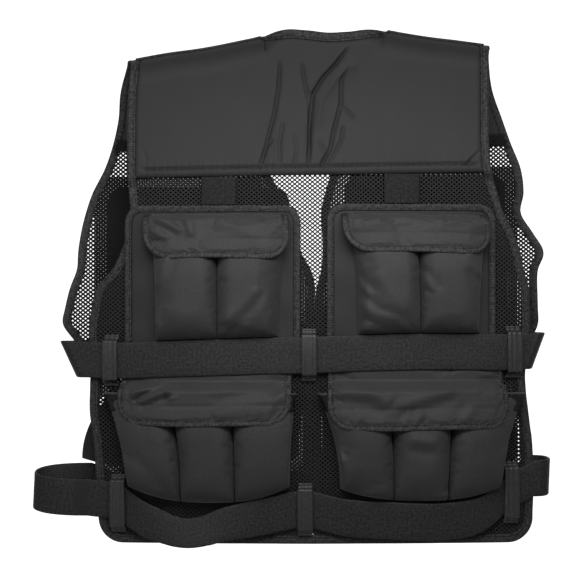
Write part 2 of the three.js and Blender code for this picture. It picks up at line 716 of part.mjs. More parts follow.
// Backings of the upper pockets
for (const row of backings) {
  const columns = 6;
  const steps = 4;
  const from = (across, down) => flat(across * halfSpan, levelOf(down));
  const topLeft = from(row.left, row.top);
  const topRight = from(row.right, row.top);
  const down = flat(0, -backingCorner);
  const across = flat(backingCorner, 0);
  const leftSide = [
    ...corner(topLeft.clone().add(across), topLeft, topLeft.clone().add(down), 3),
    ...line(topLeft.clone().add(down), from(row.left, row.bottom), steps).slice(1),
  ];
  const rightSide = [
    ...corner(topRight.clone().sub(across), topRight, topRight.clone().add(down), 3),
    ...line(topRight.clone().add(down), from(row.right, row.bottom), steps).slice(1),
  ];
  const top = line(leftSide[0], rightSide[0], columns);
  const whole = [...rightSide.slice().reverse(), ...top.slice(1, -1).reverse(), ...leftSide];
  const inner = moved(whole, row.binding ? flapBindingWidth + seamGap : 0);
  const count = rightSide.length;
  const innerRight = inner.slice(0, count).reverse();
  const innerTop = inner.slice(count - 1, count + columns).reverse();
  const innerLeft = inner.slice(count + columns - 1);
  const bottom = line(innerLeft[count - 1], innerRight[count - 1], columns);
  const grid = patch(innerTop, bottom, innerLeft, innerRight);
  add(`${row.name}_backing`, shell(row.side, grid, () => onNet, () => onNet + backingThickness), nylon);
  if (row.binding) {
    const edge = binding(row.side, whole, flapBindingWidth, onNet, onNet + bindingThickness);
    add(`${row.name}_backing_binding`, edge, tape);
  }
}

// Height of a pocket's front above its back, over its width (a) and from its mouth down (b).
function fullness(row, a, b) {
  const depth = row.side === back ? backPocketDepth : frontPocketDepth;
  const towardSide = Math.abs(2 * clamp(a, 0, 1) - 1);
  const sides = 1 - sideDrop * towardSide ** sidePower;
  const seam = Math.abs(a * row.channels - Math.round(a * row.channels));
  const inner = a * row.channels > 0.5 && a * row.channels < row.channels - 0.5;
  const crease = inner ? creaseDrop * Math.exp(-((seam / creaseWidth) ** 2)) * smooth(b * 3) : 0;
  const down = clamp(b, 0, 1);
  const belly = mix(mouthShare, 1, smooth(down * 2)) * (1 - bottomDrop * down ** bottomPower);
  return depth * belly * sides * (1 - crease);
}

// Height of the flap's underside at the same place, without the creases and the rounded sides.
function coverHeight(row, a, b) {
  const depth = row.side === back ? backPocketDepth : frontPocketDepth;
  const towardSide = clamp(Math.abs(2 * a - 1), 0, 1);
  const belly = mix(mouthShare, 1, smooth(clamp(b, 0, 1) * 2));
  return depth * belly * (1 - coverDrop * towardSide ** coverPower);
}

const pocketBase = (row) => (row.onBacking ? onBacking : onNet);
const tapeStack = hookTapeThickness + 2 * layerGap;

// Sides of a pocket at a share of its height: they draw in soonest near the mouth.
function pocketSides(row, b) {
  const drawn = 1 - (1 - clamp(b, 0, 1)) ** 2;
  return {
    left: halfSpan * mix(row.topLeft, row.bottomLeft, drawn),
    right: halfSpan * mix(row.topRight, row.bottomRight, drawn),
  };
}

function pocketPlace(row, x, h) {
  const b = (levelOf(row.top) - h) / (levelOf(row.top) - levelOf(row.bottom));
  const { left, right } = pocketSides(row, b);
  return { a: (x - left) / (right - left), b };
}

function pocketGrid(row, columns, rows) {
  const grid = [];
  for (let j = 0; j <= rows; j += 1) {
    const b = j / rows;
    const cells = [];
    for (let i = 0; i <= columns; i += 1) {
      const a = i / columns;
      const { left, right } = pocketSides(row, b);
      const sag = row.sag * vestHeight * b ** 3 * (1 - Math.abs(2 * a - 1) ** sagPower);
      cells.push(flat(mix(left, right, a), mix(levelOf(row.top), levelOf(row.bottom), b) - sag));
    }
    grid.push(cells);
  }
  return grid;
}

// Solid of a pocket with its filled channels
function pocketBody(row) {
  const perChannel = row.side === back ? 4 : 3;
  const rows = row.side === back ? 5 : 4;
  const grid = pocketGrid(row, row.channels * perChannel, rows);
  const columns = grid[0].length - 1;
  const heights = grid.map((cells, j) => cells.map((p, i) => fullness(row, i / columns, j / rows)));
  return { grid, base: pocketBase(row), heights };
}

function quilt(side, { grid, base, heights }) {
  return shell(side, grid, () => base, (x, h, j, i) => base + heights[j][i]);
}

// Strip of hook tape across the front of a pocket, following the facets of its filled channels
function hookTape(row) {
  const { grid, base, heights } = pocketBody(row);
  const rows = grid.length - 1;
  const height = levelOf(row.top) - levelOf(row.bottom);
  const low = hookTapeDrop / height;
  const high = low + hookTapeWidth / height;
  const between = Array.from({ length: rows }, (_, j) => j / rows).filter((b) => b > low && b < high);
  const cells = [];
  const rise = [];
  for (const b of [low, ...between, high]) {
    const j = Math.min(rows - 1, Math.floor(b * rows));
    const t = b * rows - j;
    cells.push(grid[j].map((p, i) => p.clone().lerp(grid[j + 1][i], t)));
    rise.push(heights[j].map((value, i) => mix(value, heights[j + 1][i], t)));
  }
  const under = (x, h, j, i) => base + rise[j][i] + layerGap;
  return shell(row.side, cells, under, (x, h, j, i) => under(x, h, j, i) + hookTapeThickness);
}

// Flap from its seam over the mouth of the pocket
function flapParts(row) {
  const seam = [row.seamLeft, row.seamRight].map((across) => flat(across * halfSpan, levelOf(row.flapSeam)));
  const hem = levelOf(row.flapBottom);
  const low = [row.flapLeft, row.flapRight].map((across) => flat(across * halfSpan, hem));
  const columns = row.side === back ? 6 : 4;
  const downs = [row.flapRise, (row.flapRise + row.top) / 2, row.top];
  const levels = downs.filter((down) => down > row.flapSeam).map(levelOf);
  const edge = (from, to, inward) => {
    const start = from.clone().lerp(to, 1 - flapCorner / from.distanceTo(to));
    const end = to.clone().add(flat(inward * flapCorner, 0));
    const between = levels.map((h) => from.clone().lerp(start, (from.y - h) / (from.y - start.y)));
    return [from, ...between, ...corner(start, to, end, 3)];
  };
  const left = edge(seam[0], low[0], 1);
  const right = edge(seam[1], low[1], -1);
  const path = roundPath(left, right, columns);
  const inner = moved(path, row.side === back ? flapBindingWidth + seamGap : 0);
  const rows = left.length;
  const innerLeft = inner.slice(0, rows);
  const innerBottom = inner.slice(rows - 1, rows + columns);
  const innerRight = inner.slice(rows + columns - 1).reverse();
  const top = line(innerLeft[0], innerRight[0], columns);
  return { path, grid: patch(top, innerBottom, innerLeft, innerRight) };
}

function flapUnder(row, x, h) {
  const { a, b } = pocketPlace(row, x, h);
  const base = pocketBase(row);
  const over = (levelOf(row.flapRise) - h) / (levelOf(row.flapRise) - levelOf(row.top));
  return base + mix(0, coverHeight(row, a, b) + tapeStack + layerGap, smooth(over));
}

for (const row of pockets) {
  add(`${row.name}_pocket`, quilt(row.side, pocketBody(row)), nylon);
  if (row.hookTape) add(`${row.name}_hook_tape`, hookTape(row), tape);
  const { path, grid } = flapParts(row);
  const under = (x, h) => flapUnder(row, x, h);
  add(`${row.name}_flap`, shell(row.side, grid, under, (x, h) => under(x, h) + flapThickness), nylon);
  if (row.side === back) {
    const low = (p) => under(p.x, p.y) - flapBindingSink;
    const high = (p) => under(p.x, p.y) + bindingThickness;
    add(`${row.name}_flap_binding`, binding(row.side, path, flapBindingWidth, low, high), tape);
  }
}

// Closed ring of a belt: along the back, round the right end, along the front and round the left end
function beltRing(belt) {
  const sections = [];
  const low = onNet + seamGap;
  const section = (tops, bottoms) => sections.push([tops[0], tops[1], bottoms[1], bottoms[0]]);
  const topAt = (run, x) => levelOf(lookUp(run, "across", "top", x / halfSpan));
  const standAt = (run, x) => low + beltWidth * lookUp(run, "across", "stand", x / halfSpan);
  const last = belt.backRun[belt.backRun.length - 1];
  const ends = { left: belt.backRun[0].across * halfSpan, right: last.across * halfSpan };
  const leanAt = (x) => {
    const t = (x - ends.left) / (ends.right - ends.left);
    return mix(belt.leanLeft, -belt.leanRight, t) * Math.abs(2 * t - 1) ** 4;
  };
  const runCount = 24;
  const corners = (side, run, x) => {
    const top = topAt(run, x);
    const out = standAt(run, x);
    const lowerX = x + leanAt(x);
    const edges = [[x, top], [lowerX, top - beltWidth]];
    return edges.map(([at, h]) => [out, out + webbingThickness].map((away) => lift(side, at, h, away)));
  };
  const turnCount = 7;
  const bend = (from, to, reach) => {
    for (let k = 1; k < turnCount; k += 1) {
      const angle = (k / turnCount) * Math.PI;
      const round = Math.sin(angle) ** turnPower;
      const swing = Math.sign(Math.cos(angle)) * Math.abs(Math.cos(angle)) ** turnPower;
      const point = (edgeIndex, layer) => {
        const a = from[edgeIndex][layer];
        const b = to[edgeIndex][layer];
        const thick = layer * webbingThickness * Math.sign(reach);
        const x = mix(a.x, b.x, k / turnCount) + (reach + thick) * round;
        const y = mix((a.y + b.y) / 2, a.y, swing);
        const z = mix(a.z, b.z, smooth(k / turnCount));
        return new THREE.Vector3(x, y, z);
      };
      section([point(0, 0), point(0, 1)], [point(1, 0), point(1, 1)]);
    }
  };
  const xs = Array.from({ length: runCount + 1 }, (_, k) => mix(ends.left, ends.right, k / runCount));
  const backs = xs.map((x) => corners(back, belt.backRun, x));
  const fronts = xs.map((x) => corners(front, belt.frontRun, x)).reverse();
  for (const pair of backs) section(pair[0], pair[1]);
  bend(backs[runCount], fronts[0], belt.reachRight);
  for (const pair of fronts) section(pair[0], pair[1]);
  bend(fronts[runCount], backs[0], -belt.reachLeft);
  return strip(sections, true);
}
for (const belt of belts) add(`${belt.name}_belt`, beltRing(belt), webbing);

// Loops that hold the belts against the cloth
for (const row of loops) {
  const belt = belts[row.belt];
  const run = row.side === back ? belt.backRun : belt.frontRun;
  const middle = row.across * halfSpan;
  const spots = [-1, 0, 1].map((k) => (middle + k * loopWidth / 2) / halfSpan);
  const tops = spots.map((at) => levelOf(lookUp(run, "across", "top", at)));
  const stand = beltWidth * Math.max(...spots.map((at) => lookUp(run, "across", "stand", at)));
  const base = row.onBacking ? onBacking : onNet;
  const hump = onNet - base + stand + webbingThickness + seamGap + 2 * layerGap;
  const upper = Math.max(...tops) + loopSlack;
  const lower = Math.min(...tops) - beltWidth - loopSlack;
  const stations = [
    [upper + loopFoot, 0],
    [upper + loopSlack / 2, 0],
    [upper, 1],
    [(upper + lower) / 2, loopBow],
    [lower, 1],
    [lower - loopSlack / 2, 0],
    [lower - loopFoot, 0],
  ];
  const grid = stations.map(([h]) => [flat(middle - loopWidth / 2, h), flat(middle + loopWidth / 2, h)]);
  const rise = new Map(stations.map(([h, k]) => [h, k * hump]));
  const under = (x, h) => base + rise.get(h);
  add(`${row.name}_loop`, shell(row.side, grid, under, (x, h) => under(x, h) + loopThickness), nylon);
}

// Plain buckle that closes each belt at the middle of the front
for (const belt of belts) {
  const top = levelOf(lookUp(belt.frontRun, "across", "top", 0));
  const out = onNet + seamGap + beltWidth * lookUp(belt.frontRun, "across", "stand", 0) + webbingThickness;
  const faces = [top, top - beltWidth].map((h) => lift(front, 0, h, out).y);
  const width = buckleWidth / 2 - buckleBevel;
  const height = beltWidth / 2 + buckleOverlap - buckleBevel;
  const plate = new THREE.Shape();
  plate.absarc(width - buckleCorner, height - buckleCorner, buckleCorner, 0, Math.PI / 2);
  plate.absarc(buckleCorner - width, height - buckleCorner, buckleCorner, Math.PI / 2, Math.PI);
  plate.absarc(buckleCorner - width, buckleCorner - height, buckleCorner, Math.PI, 1.5 * Math.PI);
  plate.absarc(width - buckleCorner, buckleCorner - height, buckleCorner, 1.5 * Math.PI, 2 * Math.PI);
  const geometry = new THREE.ExtrudeGeometry(plate, {
    depth: buckleThickness - 2 * buckleBevel,
    bevelThickness: buckleBevel,
    bevelSize: buckleBevel,
    bevelSegments: 1,
    curveSegments: 2,
  });
  geometry.rotateX(-Math.PI / 2);
  geometry.translate(0, Math.max(...faces) + seamGap + buckleBevel, top - beltWidth / 2);
  add(`${belt.name}_buckle`, geometry, plastic);
}

export default vest;
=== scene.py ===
import math
import bpy
import numpy as np
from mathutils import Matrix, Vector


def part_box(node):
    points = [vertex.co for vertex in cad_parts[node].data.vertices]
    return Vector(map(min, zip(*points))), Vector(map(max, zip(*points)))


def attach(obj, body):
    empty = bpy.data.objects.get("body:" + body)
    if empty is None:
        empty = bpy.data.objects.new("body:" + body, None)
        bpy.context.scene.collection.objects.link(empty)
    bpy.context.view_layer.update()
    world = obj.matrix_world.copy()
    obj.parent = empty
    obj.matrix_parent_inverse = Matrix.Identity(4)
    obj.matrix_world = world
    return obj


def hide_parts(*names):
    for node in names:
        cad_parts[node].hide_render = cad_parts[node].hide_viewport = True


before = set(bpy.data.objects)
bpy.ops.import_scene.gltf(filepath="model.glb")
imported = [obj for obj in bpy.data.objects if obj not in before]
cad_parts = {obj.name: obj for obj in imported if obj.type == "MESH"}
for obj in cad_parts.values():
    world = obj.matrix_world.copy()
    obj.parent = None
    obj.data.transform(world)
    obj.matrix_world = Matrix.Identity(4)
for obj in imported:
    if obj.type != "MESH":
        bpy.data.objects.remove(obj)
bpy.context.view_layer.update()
random = np.random.default_rng(11)

# Weighted vest seen from its back. Working units are millimetres until a mesh is made.
back, front = -1, 1
vest = dict(height=605, halfSpan=288, bend=28, drop=30, depth=62, backYoke=162, frontYoke=127, yokeTilt=5,
            yokeLap=16, neckLeft=-52, neckRight=88, neckCorner=45, neckStand=0.26, corner=30)
layer = dict(onNet=1.8, onBacking=4.0, gap=0.8, yoke=4.5, flap=2.2, webbing=2.2, loop=1.4, backing=1.4,
             hookTape=1.4)
bindingTape = dict(width=10, flapWidth=8, thickness=3.2, inset=8.5, flapInset=6.3, seamAt=0.76,
                   wave=(34, 0.35))
stitch = dict(pitch=3.2, length=2.2, width=0.55)
seamGap = 0.15
halfSpan = vest["halfSpan"]
bendLength = vest["bend"] * math.pi / 2


def mix(a, b, t):
    return a + (b - a) * t


def smooth(t):
    k = np.clip(t, 0, 1)
    return k * k * (3 - 2 * k)


def table(names, rows):
    return dict(zip(names.split(), np.array(rows, float).T))


# Smooth curve through the rows of a table: cubic pieces with the mean slope at each row
def curve(rows, key, name, at):
    xs, ys = rows[key], rows[name]
    at = np.clip(at, xs[0], xs[-1])
    i = np.clip(np.searchsorted(xs, at, side="right") - 1, 0, len(xs) - 2)
    slope = np.diff(ys) / np.diff(xs)
    joined = np.concatenate([slope[:1], (slope[1:] + slope[:-1]) / 2, slope[-1:]])
    step = xs[i + 1] - xs[i]
    t = (at - xs[i]) / step
    bend = (joined[i] * (1 - t) - joined[i + 1] * t) * t * (1 - t) * step
    return mix(ys[i], ys[i + 1], t * t * (3 - 2 * t)) + bend


# Edges of the panels in shares of the half span, at each share of the height
edges = table("down backLeft backRight frontLeft frontRight vLeft vRight", [
    [0.030, -0.742, 0.750, -0.758, 0.762, -0.184, 0.317],
    [0.090, -0.760, 0.750, -0.804, 0.779, -0.184, 0.280],
    [0.150, -0.765, 0.750, -0.815, 0.822, -0.184, 0.219],
    [0.200, -0.765, 0.750, -0.837, 0.859, -0.181, 0.157],
    [0.250, -0.765, 0.756, -0.872, 0.900, -0.175, 0.100],
    [0.300, -0.759, 0.785, -0.925, 0.912, -0.121, 0.066],
    [0.340, -0.753, 0.811, -0.953, 0.900, -0.070, 0.049],
    [0.380, -0.763, 0.854, -0.973, 0.951, -0.049, 0.054],
    [0.420, -0.792, 0.883, -0.985, 0.996, -0.034, 0.056],
    [0.455, -0.829, 0.898, -0.990, 0.971, 0.007, 0.050],
    [0.490, -0.893, 0.919, -1.017, 0.969, 0.025, 0.031],
    [0.530, -0.916, 0.924, -1.037, 0.971, 0.021, 0.021],
    [0.565, -0.928, 0.926, -1.047, 0.971, 0.017, 0.017],
    [0.600, -0.929, 0.922, -0.998, 0.940, 0.013, 0.013],
    [0.665, -0.923, 0.905, -0.922, 0.894, 0.011, 0.011],
    [0.740, -0.925, 0.919, -0.932, 0.920, 0.010, 0.010],
    [0.800, -0.908, 0.935, -0.922, 0.930, 0.010, 0.010],
    [0.880, -0.898, 0.940, -0.901, 0.935, 0.010, 0.010],
    [0.960, -0.886, 0.936, -0.886, 0.930, 0.010, 0.010],
])
topLine = table("across fall", [
    [-0.76, 0.93], [-0.60, 0.65], [-0.45, 0.45], [-0.30, 0.17], [-0.20, -0.05], [-0.10, -0.42],
    [0.00, -0.39], [0.08, -0.31], [0.16, -0.35], [0.25, -0.41], [0.32, -0.29], [0.40, -0.15],
    [0.50, 0.00], [0.62, 0.14], [0.76, 0.32],
])
depths = table("down middle side", [
    [0.06, 0.45, 0.45], [0.25, 0.76, 0.42], [0.45, 0.95, 0.31], [0.62, 1.00, 0.28], [0.85, 0.95, 0.28],
    [1.00, 0.88, 0.28],
])


def levelOf(down):
    return -down * vest["height"]


def edgeAt(name, h):
    return halfSpan * curve(edges, "down", name, -np.asarray(h) / vest["height"])


def neckCut(x):
    inside = np.minimum(x - vest["neckLeft"], vest["neckRight"] - x)
    k = np.clip(1 - inside / vest["neckCorner"], 0, 1)
    return np.where(inside > 0, bendLength * (1 - vest["neckStand"]) * np.sqrt(1 - k * k), 0)


def foldLevel(side, x):
    top = -vest["drop"] * curve(topLine, "across", "fall", x / halfSpan)
    if side == back:
        top = top + vest["bend"] * (1 - np.cos(neckCut(x) / vest["bend"]))
    return top - vest["bend"]


def ridgeHeight(side, x):
    return foldLevel(side, x) + bendLength


def depthAt(side, x, h):
    down = -h / vest["height"]
    target = vest["depth"] * mix(curve(depths, "down", "middle", down), curve(depths, "down", "side", down),
                                 np.abs(x / halfSpan) ** 2.4)
    below = (foldLevel(side, x) - h) / vest["backYoke"]
    ripple = 1.1 * np.sin(x / 37 + h / 61 + side) + 0.7 * np.sin(x / 19 - h / 43)
    return mix(vest["bend"], target, smooth(below)) + ripple * smooth(below)


# Place of the cloth in space, bent over the shoulder above the fold level
def clothPoint(side, x, h):
    level = foldLevel(side, x)
    turn = (bendLength + level - h) / vest["bend"]
    hanging = turn >= math.pi / 2
    y = np.where(hanging, depthAt(side, x, h), vest["bend"] * np.sin(turn))
    z = np.where(hanging, h, level + vest["bend"] * np.cos(turn))
    return np.stack([x, side * y, z], -1)


def lift(side, x, h, out):
    x, h, out = np.broadcast_arrays(np.asarray(x, float), np.asarray(h, float), np.asarray(out, float))
    step = 0.5
    across = clothPoint(side, x + step, h) - clothPoint(side, x - step, h)
    down = clothPoint(side, x, h - step) - clothPoint(side, x, h + step)
    normal = np.cross(across, down)
    normal *= side / np.linalg.norm(normal, axis=-1, keepdims=True)
    return clothPoint(side, x, h) + normal * out[..., None]


# Paths and grids in the flat plane of the cloth
def arcLength(path):
    return np.concatenate([[0], np.cumsum(np.linalg.norm(np.diff(path, axis=0), axis=1))])


def resample(path, count):
    length = arcLength(path)
    at = np.linspace(0, length[-1], count)
    return np.stack([np.interp(at, length, path[:, k]) for k in (0, 1)], -1)


def line(start, end, count):
    return mix(np.array(start, float), np.array(end, float), np.linspace(0, 1, count)[:, None])


def moved(path, distance):
    step = np.diff(path, axis=0)
    step /= np.maximum(np.linalg.norm(step, axis=1, keepdims=True), 1e-9)
    before = np.concatenate([step[:1], step])
    after = np.concatenate([step, step[-1:]])
    middle = before + after
    middle /= np.linalg.norm(middle, axis=1, keepdims=True)
    reach = distance / np.maximum(0.5, (middle * before).sum(1))
    return path + np.stack([-middle[:, 1], middle[:, 0]], -1) * reach[:, None]


# Border inside a binding: ends at the shoulder seam move along the seam
def inset(side, path, distance):
    points = moved(path, distance)
    for k in (0, -1):
        seam = ridgeHeight(side, path[k, 0]) - seamGap
        if abs(path[k, 1] - seam) < 0.3:
            x = path[k, 0] + abs(distance) * np.sign(points[k, 0] - path[k, 0])
            points[k] = x, ridgeHeight(side, x) - seamGap
    return points


def corner(start, tip, end, count):
    start, tip, end = (np.array(p, float) for p in (start, tip, end))
    angle = np.linspace(0, math.pi / 2, count)[:, None]
    return tip + (start - tip) * (1 - np.sin(angle)) + (end - tip) * (1 - np.cos(angle))


# Grid between four borders: the sum of both blends less the blend of the corners
def patch(top, bottom, left, right):
    v = np.linspace(0, 1, len(left))[:, None, None]
    u = np.linspace(0, 1, len(top))[None, :, None]
    straight = mix(top[None], bottom[None], v) + mix(left[:, None], right[:, None], u)
    return straight - mix(mix(top[0], top[-1], u), mix(bottom[0], bottom[-1], u), v)


def edgePath(side, name, inward):
    tip = edgeAt(name, -vest["drop"])
    turn = np.linspace(0, math.pi / 2, 9)
    x = edgeAt(name, foldLevel(side, tip) + vest["bend"] * np.cos(turn))
    fold = np.stack([x, ridgeHeight(side, x) - np.maximum(seamGap, turn * vest["bend"])], -1)
    radius = 8 if name[0] == "v" else vest["corner"]
    start = levelOf(1) + radius
    h = np.arange(fold[-1, 1] - 5, start, -5)
    down = np.stack([edgeAt(name, h), h], -1)
    above = np.array([edgeAt(name, start), start])
    tip = np.array([above[0], levelOf(1)])
    return np.concatenate([fold, down, corner(above, tip, tip + [inward * radius, 0], 11)])


def roundPath(left, right, count):
    return np.concatenate([left, line(left[-1], right[-1], count)[1:-1], right[::-1]])


def hemAt(side, x):
    return vest["yokeTilt"] * x / halfSpan - (vest["backYoke"] if side == back else vest["frontYoke"])


# Meshes
def quadsOf(rows, columns, closeRows=False, closeColumns=False):
    index = np.arange(rows * columns).reshape(rows, columns)
    if closeRows:
        index = np.concatenate([index, index[:1]])
    if closeColumns:
        index = np.concatenate([index, index[:, :1]], 1)
    return np.stack([index[:-1, :-1], index[:-1, 1:], index[1:, 1:], index[1:, :-1]], -1).reshape(-1, 4)


def part(points, faces, uv, material=0):
    return dict(points=points.reshape(-1, 3), faces=faces, uv=uv.reshape(-1, 2), material=material)


# Closed part whose faces are turned outwards: the volume that they enclose is positive
def solidPart(points, faces, uv):
    made = part(points, faces, uv)
    a, b, c, d = (made["points"][faces[:, k]] for k in range(4))
    if (np.cross(b - a, c - a) * a).sum() + (np.cross(c - a, d - a) * a).sum() < 0:
        made["faces"] = faces[:, ::-1]
    return made


# Shell over a grid of flat points, between an inner and an outer offset, with a rim all round
def shellPart(side, grid, low, high):
    return closedPart(*[lift(side, grid[..., 0], grid[..., 1], out) for out in (low, high)], grid)


def closedPart(inner, outer, uv):
    rows, columns = inner.shape[:2]
    face = quadsOf(rows, columns)
    index = np.arange(rows * columns).reshape(rows, columns)
    ring = np.concatenate([index[0], index[1:, -1], index[-1, -2::-1], index[-2:0:-1, 0]])
    after = np.roll(ring, -1)
    count = rows * columns
    rim = np.stack([ring, after, after + count, ring + count], -1)
    faces = np.concatenate([face, face[:, ::-1] + count, rim[:, ::-1]])
    return solidPart(np.concatenate([inner, outer]), faces, np.concatenate([uv, uv]))


# Band of a given closed section along two borders: each row of the section is (across, thickness) in shares
def bandPart(inner, outer, section, uv, ring=False):
    section = np.array(section)
    across, thick = section[:, 0], section[:, 1]
    rows = len(inner[0])
    a, b = across[None, :, None], thick[None, :, None]
    low = mix(inner[0][:, None], inner[1][:, None], a)
    high = mix(outer[0][:, None], outer[1][:, None], a)
    points = mix(low, high, b)
    faces = quadsOf(rows, len(section), closeRows=ring, closeColumns=True)
    length = np.broadcast_to(uv[0][:, None], (rows, len(section)))
    width = np.broadcast_to(across[None] * uv[1] + thick[None] * 2, (rows, len(section)))
    if not ring:
        ends = np.arange(len(section)), np.arange(len(section))[::-1] + (rows - 1) * len(section)
        faces = np.concatenate([faces] + [capOf(end) for end in ends])
    return solidPart(points, faces, np.stack([length, width], -1))


# Cap of a closed section: quads between its two halves
def capOf(index):
    half = len(index) // 2
    near, far = index[:half], index[::-1][:half]
    return np.stack([near[:-1], far[:-1], far[1:], near[1:]], -1)


def addObject(name, data):
    made = bpy.data.objects.new(name, data)
    bpy.context.scene.collection.objects.link(made)
    return made


def build(name, parts, materials):
    parts = parts if isinstance(parts, list) else [parts]
    points = np.concatenate([p["points"] for p in parts]) / 1000
    uv = np.concatenate([p["uv"] for p in parts]) / 1000
    shift = np.cumsum([0] + [len(p["points"]) for p in parts])
    loops = np.concatenate([(p["faces"] + s).ravel() for p, s in zip(parts, shift)])
    sizes = np.concatenate([np.full(len(p["faces"]), p["faces"].shape[1]) for p in parts])
    slots = np.concatenate([np.full(len(p["faces"]), p["material"]) for p in parts])
    mesh = bpy.data.meshes.new(name)
    mesh.vertices.add(len(points))
    mesh.vertices.foreach_set("co", points.ravel())
    mesh.loops.add(len(loops))
    mesh.loops.foreach_set("vertex_index", loops.astype(np.int32))
    mesh.polygons.add(len(sizes))
    mesh.polygons.foreach_set("loop_start", (np.cumsum(sizes) - sizes).astype(np.int32))
    mesh.update(calc_edges=True)
    mesh.polygons.foreach_set("material_index", slots.astype(np.int32))
    mesh.uv_layers.new(name="cloth").data.foreach_set("uv", uv[loops].ravel())
    mesh.shade_smooth()
    mesh.validate()
    for material in materials:
        mesh.materials.append(material)
    return addObject(name + "_sewn", mesh)


# Piece of the vest in place of the node of the same name
def sew(name, slotName, parts, *materials):
    piece = build(name, parts, materials)
    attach(piece, "root")
    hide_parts(name)
    return piece


# Materials
def plain(name, values):
    material = bpy.data.materials.new(name)
    material.use_nodes = True
    for socket, value in values.items():
        material.node_tree.nodes["Principled BSDF"].inputs[socket].default_value = value
    return material


def linear(code):
    values = [int(code[i:i + 2], 16) / 255 for i in (0, 2, 4)]
    return [v / 12.92 if v <= 0.04045 else ((v + 0.055) / 1.055) ** 2.4 for v in values] + [1]


def addNode(tree, kind, links=(), **values):
    node = tree.nodes.new(kind)
    for name, value in values.items():
        setattr(node, name, value)
    for socket, source in dict(links).items():
        if isinstance(source, bpy.types.NodeSocket):
            tree.links.new(source, node.inputs[socket])
        else:
            node.inputs[socket].default_value = source
    return node


mottleSize = 30


# Cloth material: two shades mixed by a slow mottle, a weave of ribs with painted shade in their valleys and
# an uneven grain in real millimetres
def cloth(name, dark, light, roughness, rib, relief, sheen=0.0, grain=(2.4, 0.1), specular=0.3):
    material = plain(name, {"Roughness": roughness, "Specular IOR Level": specular, "Sheen Weight": sheen})
    tree = material.node_tree
    shader = tree.nodes["Principled BSDF"]
    uv = addNode(tree, "ShaderNodeTexCoord").outputs["UV"]
    noise = addNode(tree, "ShaderNodeTexNoise", {"Vector": uv, "Scale": 1000 / mottleSize, "Detail": 4.0})
    shade = addNode(tree, "ShaderNodeMix", {"Factor": noise.outputs["Fac"]}, data_type="RGBA")
    shade.inputs["A"].default_value = linear(dark)
    shade.inputs["B"].default_value = linear(light)
    ribs = []
    for direction, size in zip("XY", rib):
        if size:
            wave = addNode(tree, "ShaderNodeTexWave", {"Vector": uv, "Scale": 1000 / size / 20 * math.pi},
                           bands_direction=direction)
            ribs.append(wave.outputs["Fac"])
    height = ribs[0]
    if len(ribs) > 1:
        height = addNode(tree, "ShaderNodeMath", {0: ribs[0], 1: ribs[1]}, operation="MULTIPLY").outputs[0]
    speck = addNode(tree, "ShaderNodeTexNoise", {"Vector": uv, "Scale": 1000 / grain[0], "Detail": 1.0})
    grainShade = addNode(tree, "ShaderNodeMapRange", {
        "Value": speck.outputs["Fac"], "From Min": 0.3, "From Max": 0.7,
        "To Min": 1 - grain[1], "To Max": 1 + grain[1]})
    # Painted shade: the colour is darker in the valleys of the ribs; the grain is the cloth's own uneven tone
    paintedRibShade = addNode(tree, "ShaderNodeMath", {0: height, 1: 0.35, 2: 0.80}, operation="MULTIPLY_ADD")
    grainAndPaintedRibShade = addNode(tree, "ShaderNodeMath", {0: paintedRibShade.outputs[0], 1: grainShade.outputs[0]},
                     operation="MULTIPLY")
    tinted = addNode(tree, "ShaderNodeVectorMath", {0: shade.outputs["Result"], 3: grainAndPaintedRibShade.outputs[0]},
                     operation="SCALE")
    bump = addNode(tree, "ShaderNodeBump", {"Height": height, "Strength": 0.6, "Distance": relief / 1000})
    tree.links.new(tinted.outputs[0], shader.inputs["Base Color"])
    tree.links.new(bump.outputs["Normal"], shader.inputs["Normal"])
    return material


taffeta = dict(rib=(0.5, 0.5), relief=0.04, specular=0.2)
knit = dict(rib=(0.8, 0.8), relief=0.1, grain=(3.0, 0.3))
weave = dict(rib=(2.8, 1.4), relief=0.3, grain=(3.0, 0.8))
nylon = cloth("Black nylon taffeta", "29292a", "303031", 0.66, sheen=0.05, grain=(2.6, 0.14), **taffeta)
# Painted shade: the padded nylon of the yokes and backings is a darker copy of the taffeta, for less light on
# these parts
paddedNylonWithPaintedShade = cloth("Padded black nylon darkened as painted shade", "212122", "262627", 0.66, grain=(2.6, 0.07), **taffeta)
ribbon = cloth("Black satin ribbon", "202021", "262627", 0.45, (1.2, 0), 0.08, grain=(4.0, 0.3), specular=0.4)
netThread = cloth("Black knitted net", "171718", "212122", 0.8, specular=0.2, **knit)
# Painted shade: the front net is the same knit as the back, darker as it lies in shade inside the vest
frontNetWithPaintedShade = cloth("Front knitted net darkened as painted shade", "101011", "161617", 0.85, specular=0.15, **knit)
webbing = cloth("Black polypropylene webbing", "161617", "1d1d1e", 0.7, **weave)
# Painted shade: the straps' webbing is a darker copy of the belt webbing, for less light on the straps
strapWebbingWithPaintedShade = cloth("Polyester strap webbing darkened as painted shade", "101011", "161617", 0.75, specular=0.2, **weave)
grosgrain = cloth("Black grosgrain tape", "1b1b1c", "242425", 0.7, (1.5, 0), 0.25, grain=(3.2, 0.95))
hookPile = cloth("Black hook tape", "121213", "1e1e1f", 0.95, (1.2, 1.2), 0.5, grain=(2.8, 0.6), specular=0.1)
thread = cloth("Black polyester thread", "0e0e0f", "141415", 0.7, (0.4, 0), 0.05, specular=0.2)
moulded = cloth("Black moulded plastic", "18181a", "1a1a1c", 0.4, (3.0, 3.0), 0.01)
print("materials ready")

# Net: a lattice of diamond cells, each with an eight-sided hole
net = dict(across=6.1, row=2.5, backOpen=0.60, frontOpen=0.46, lined=0.12, cut=0.34, under=4)


def insidePolygon(x, h, path):
    x0, h0 = path.T
    x1, h1 = np.roll(path, -1, 0).T
    inside = np.zeros(len(x), bool)
    for a, b, c, d in zip(x0, h0, x1, h1):
        if b != d:
            inside ^= ((b > h) != (d > h)) & (x < (c - a) * (h - b) / (d - b) + a)
    return inside


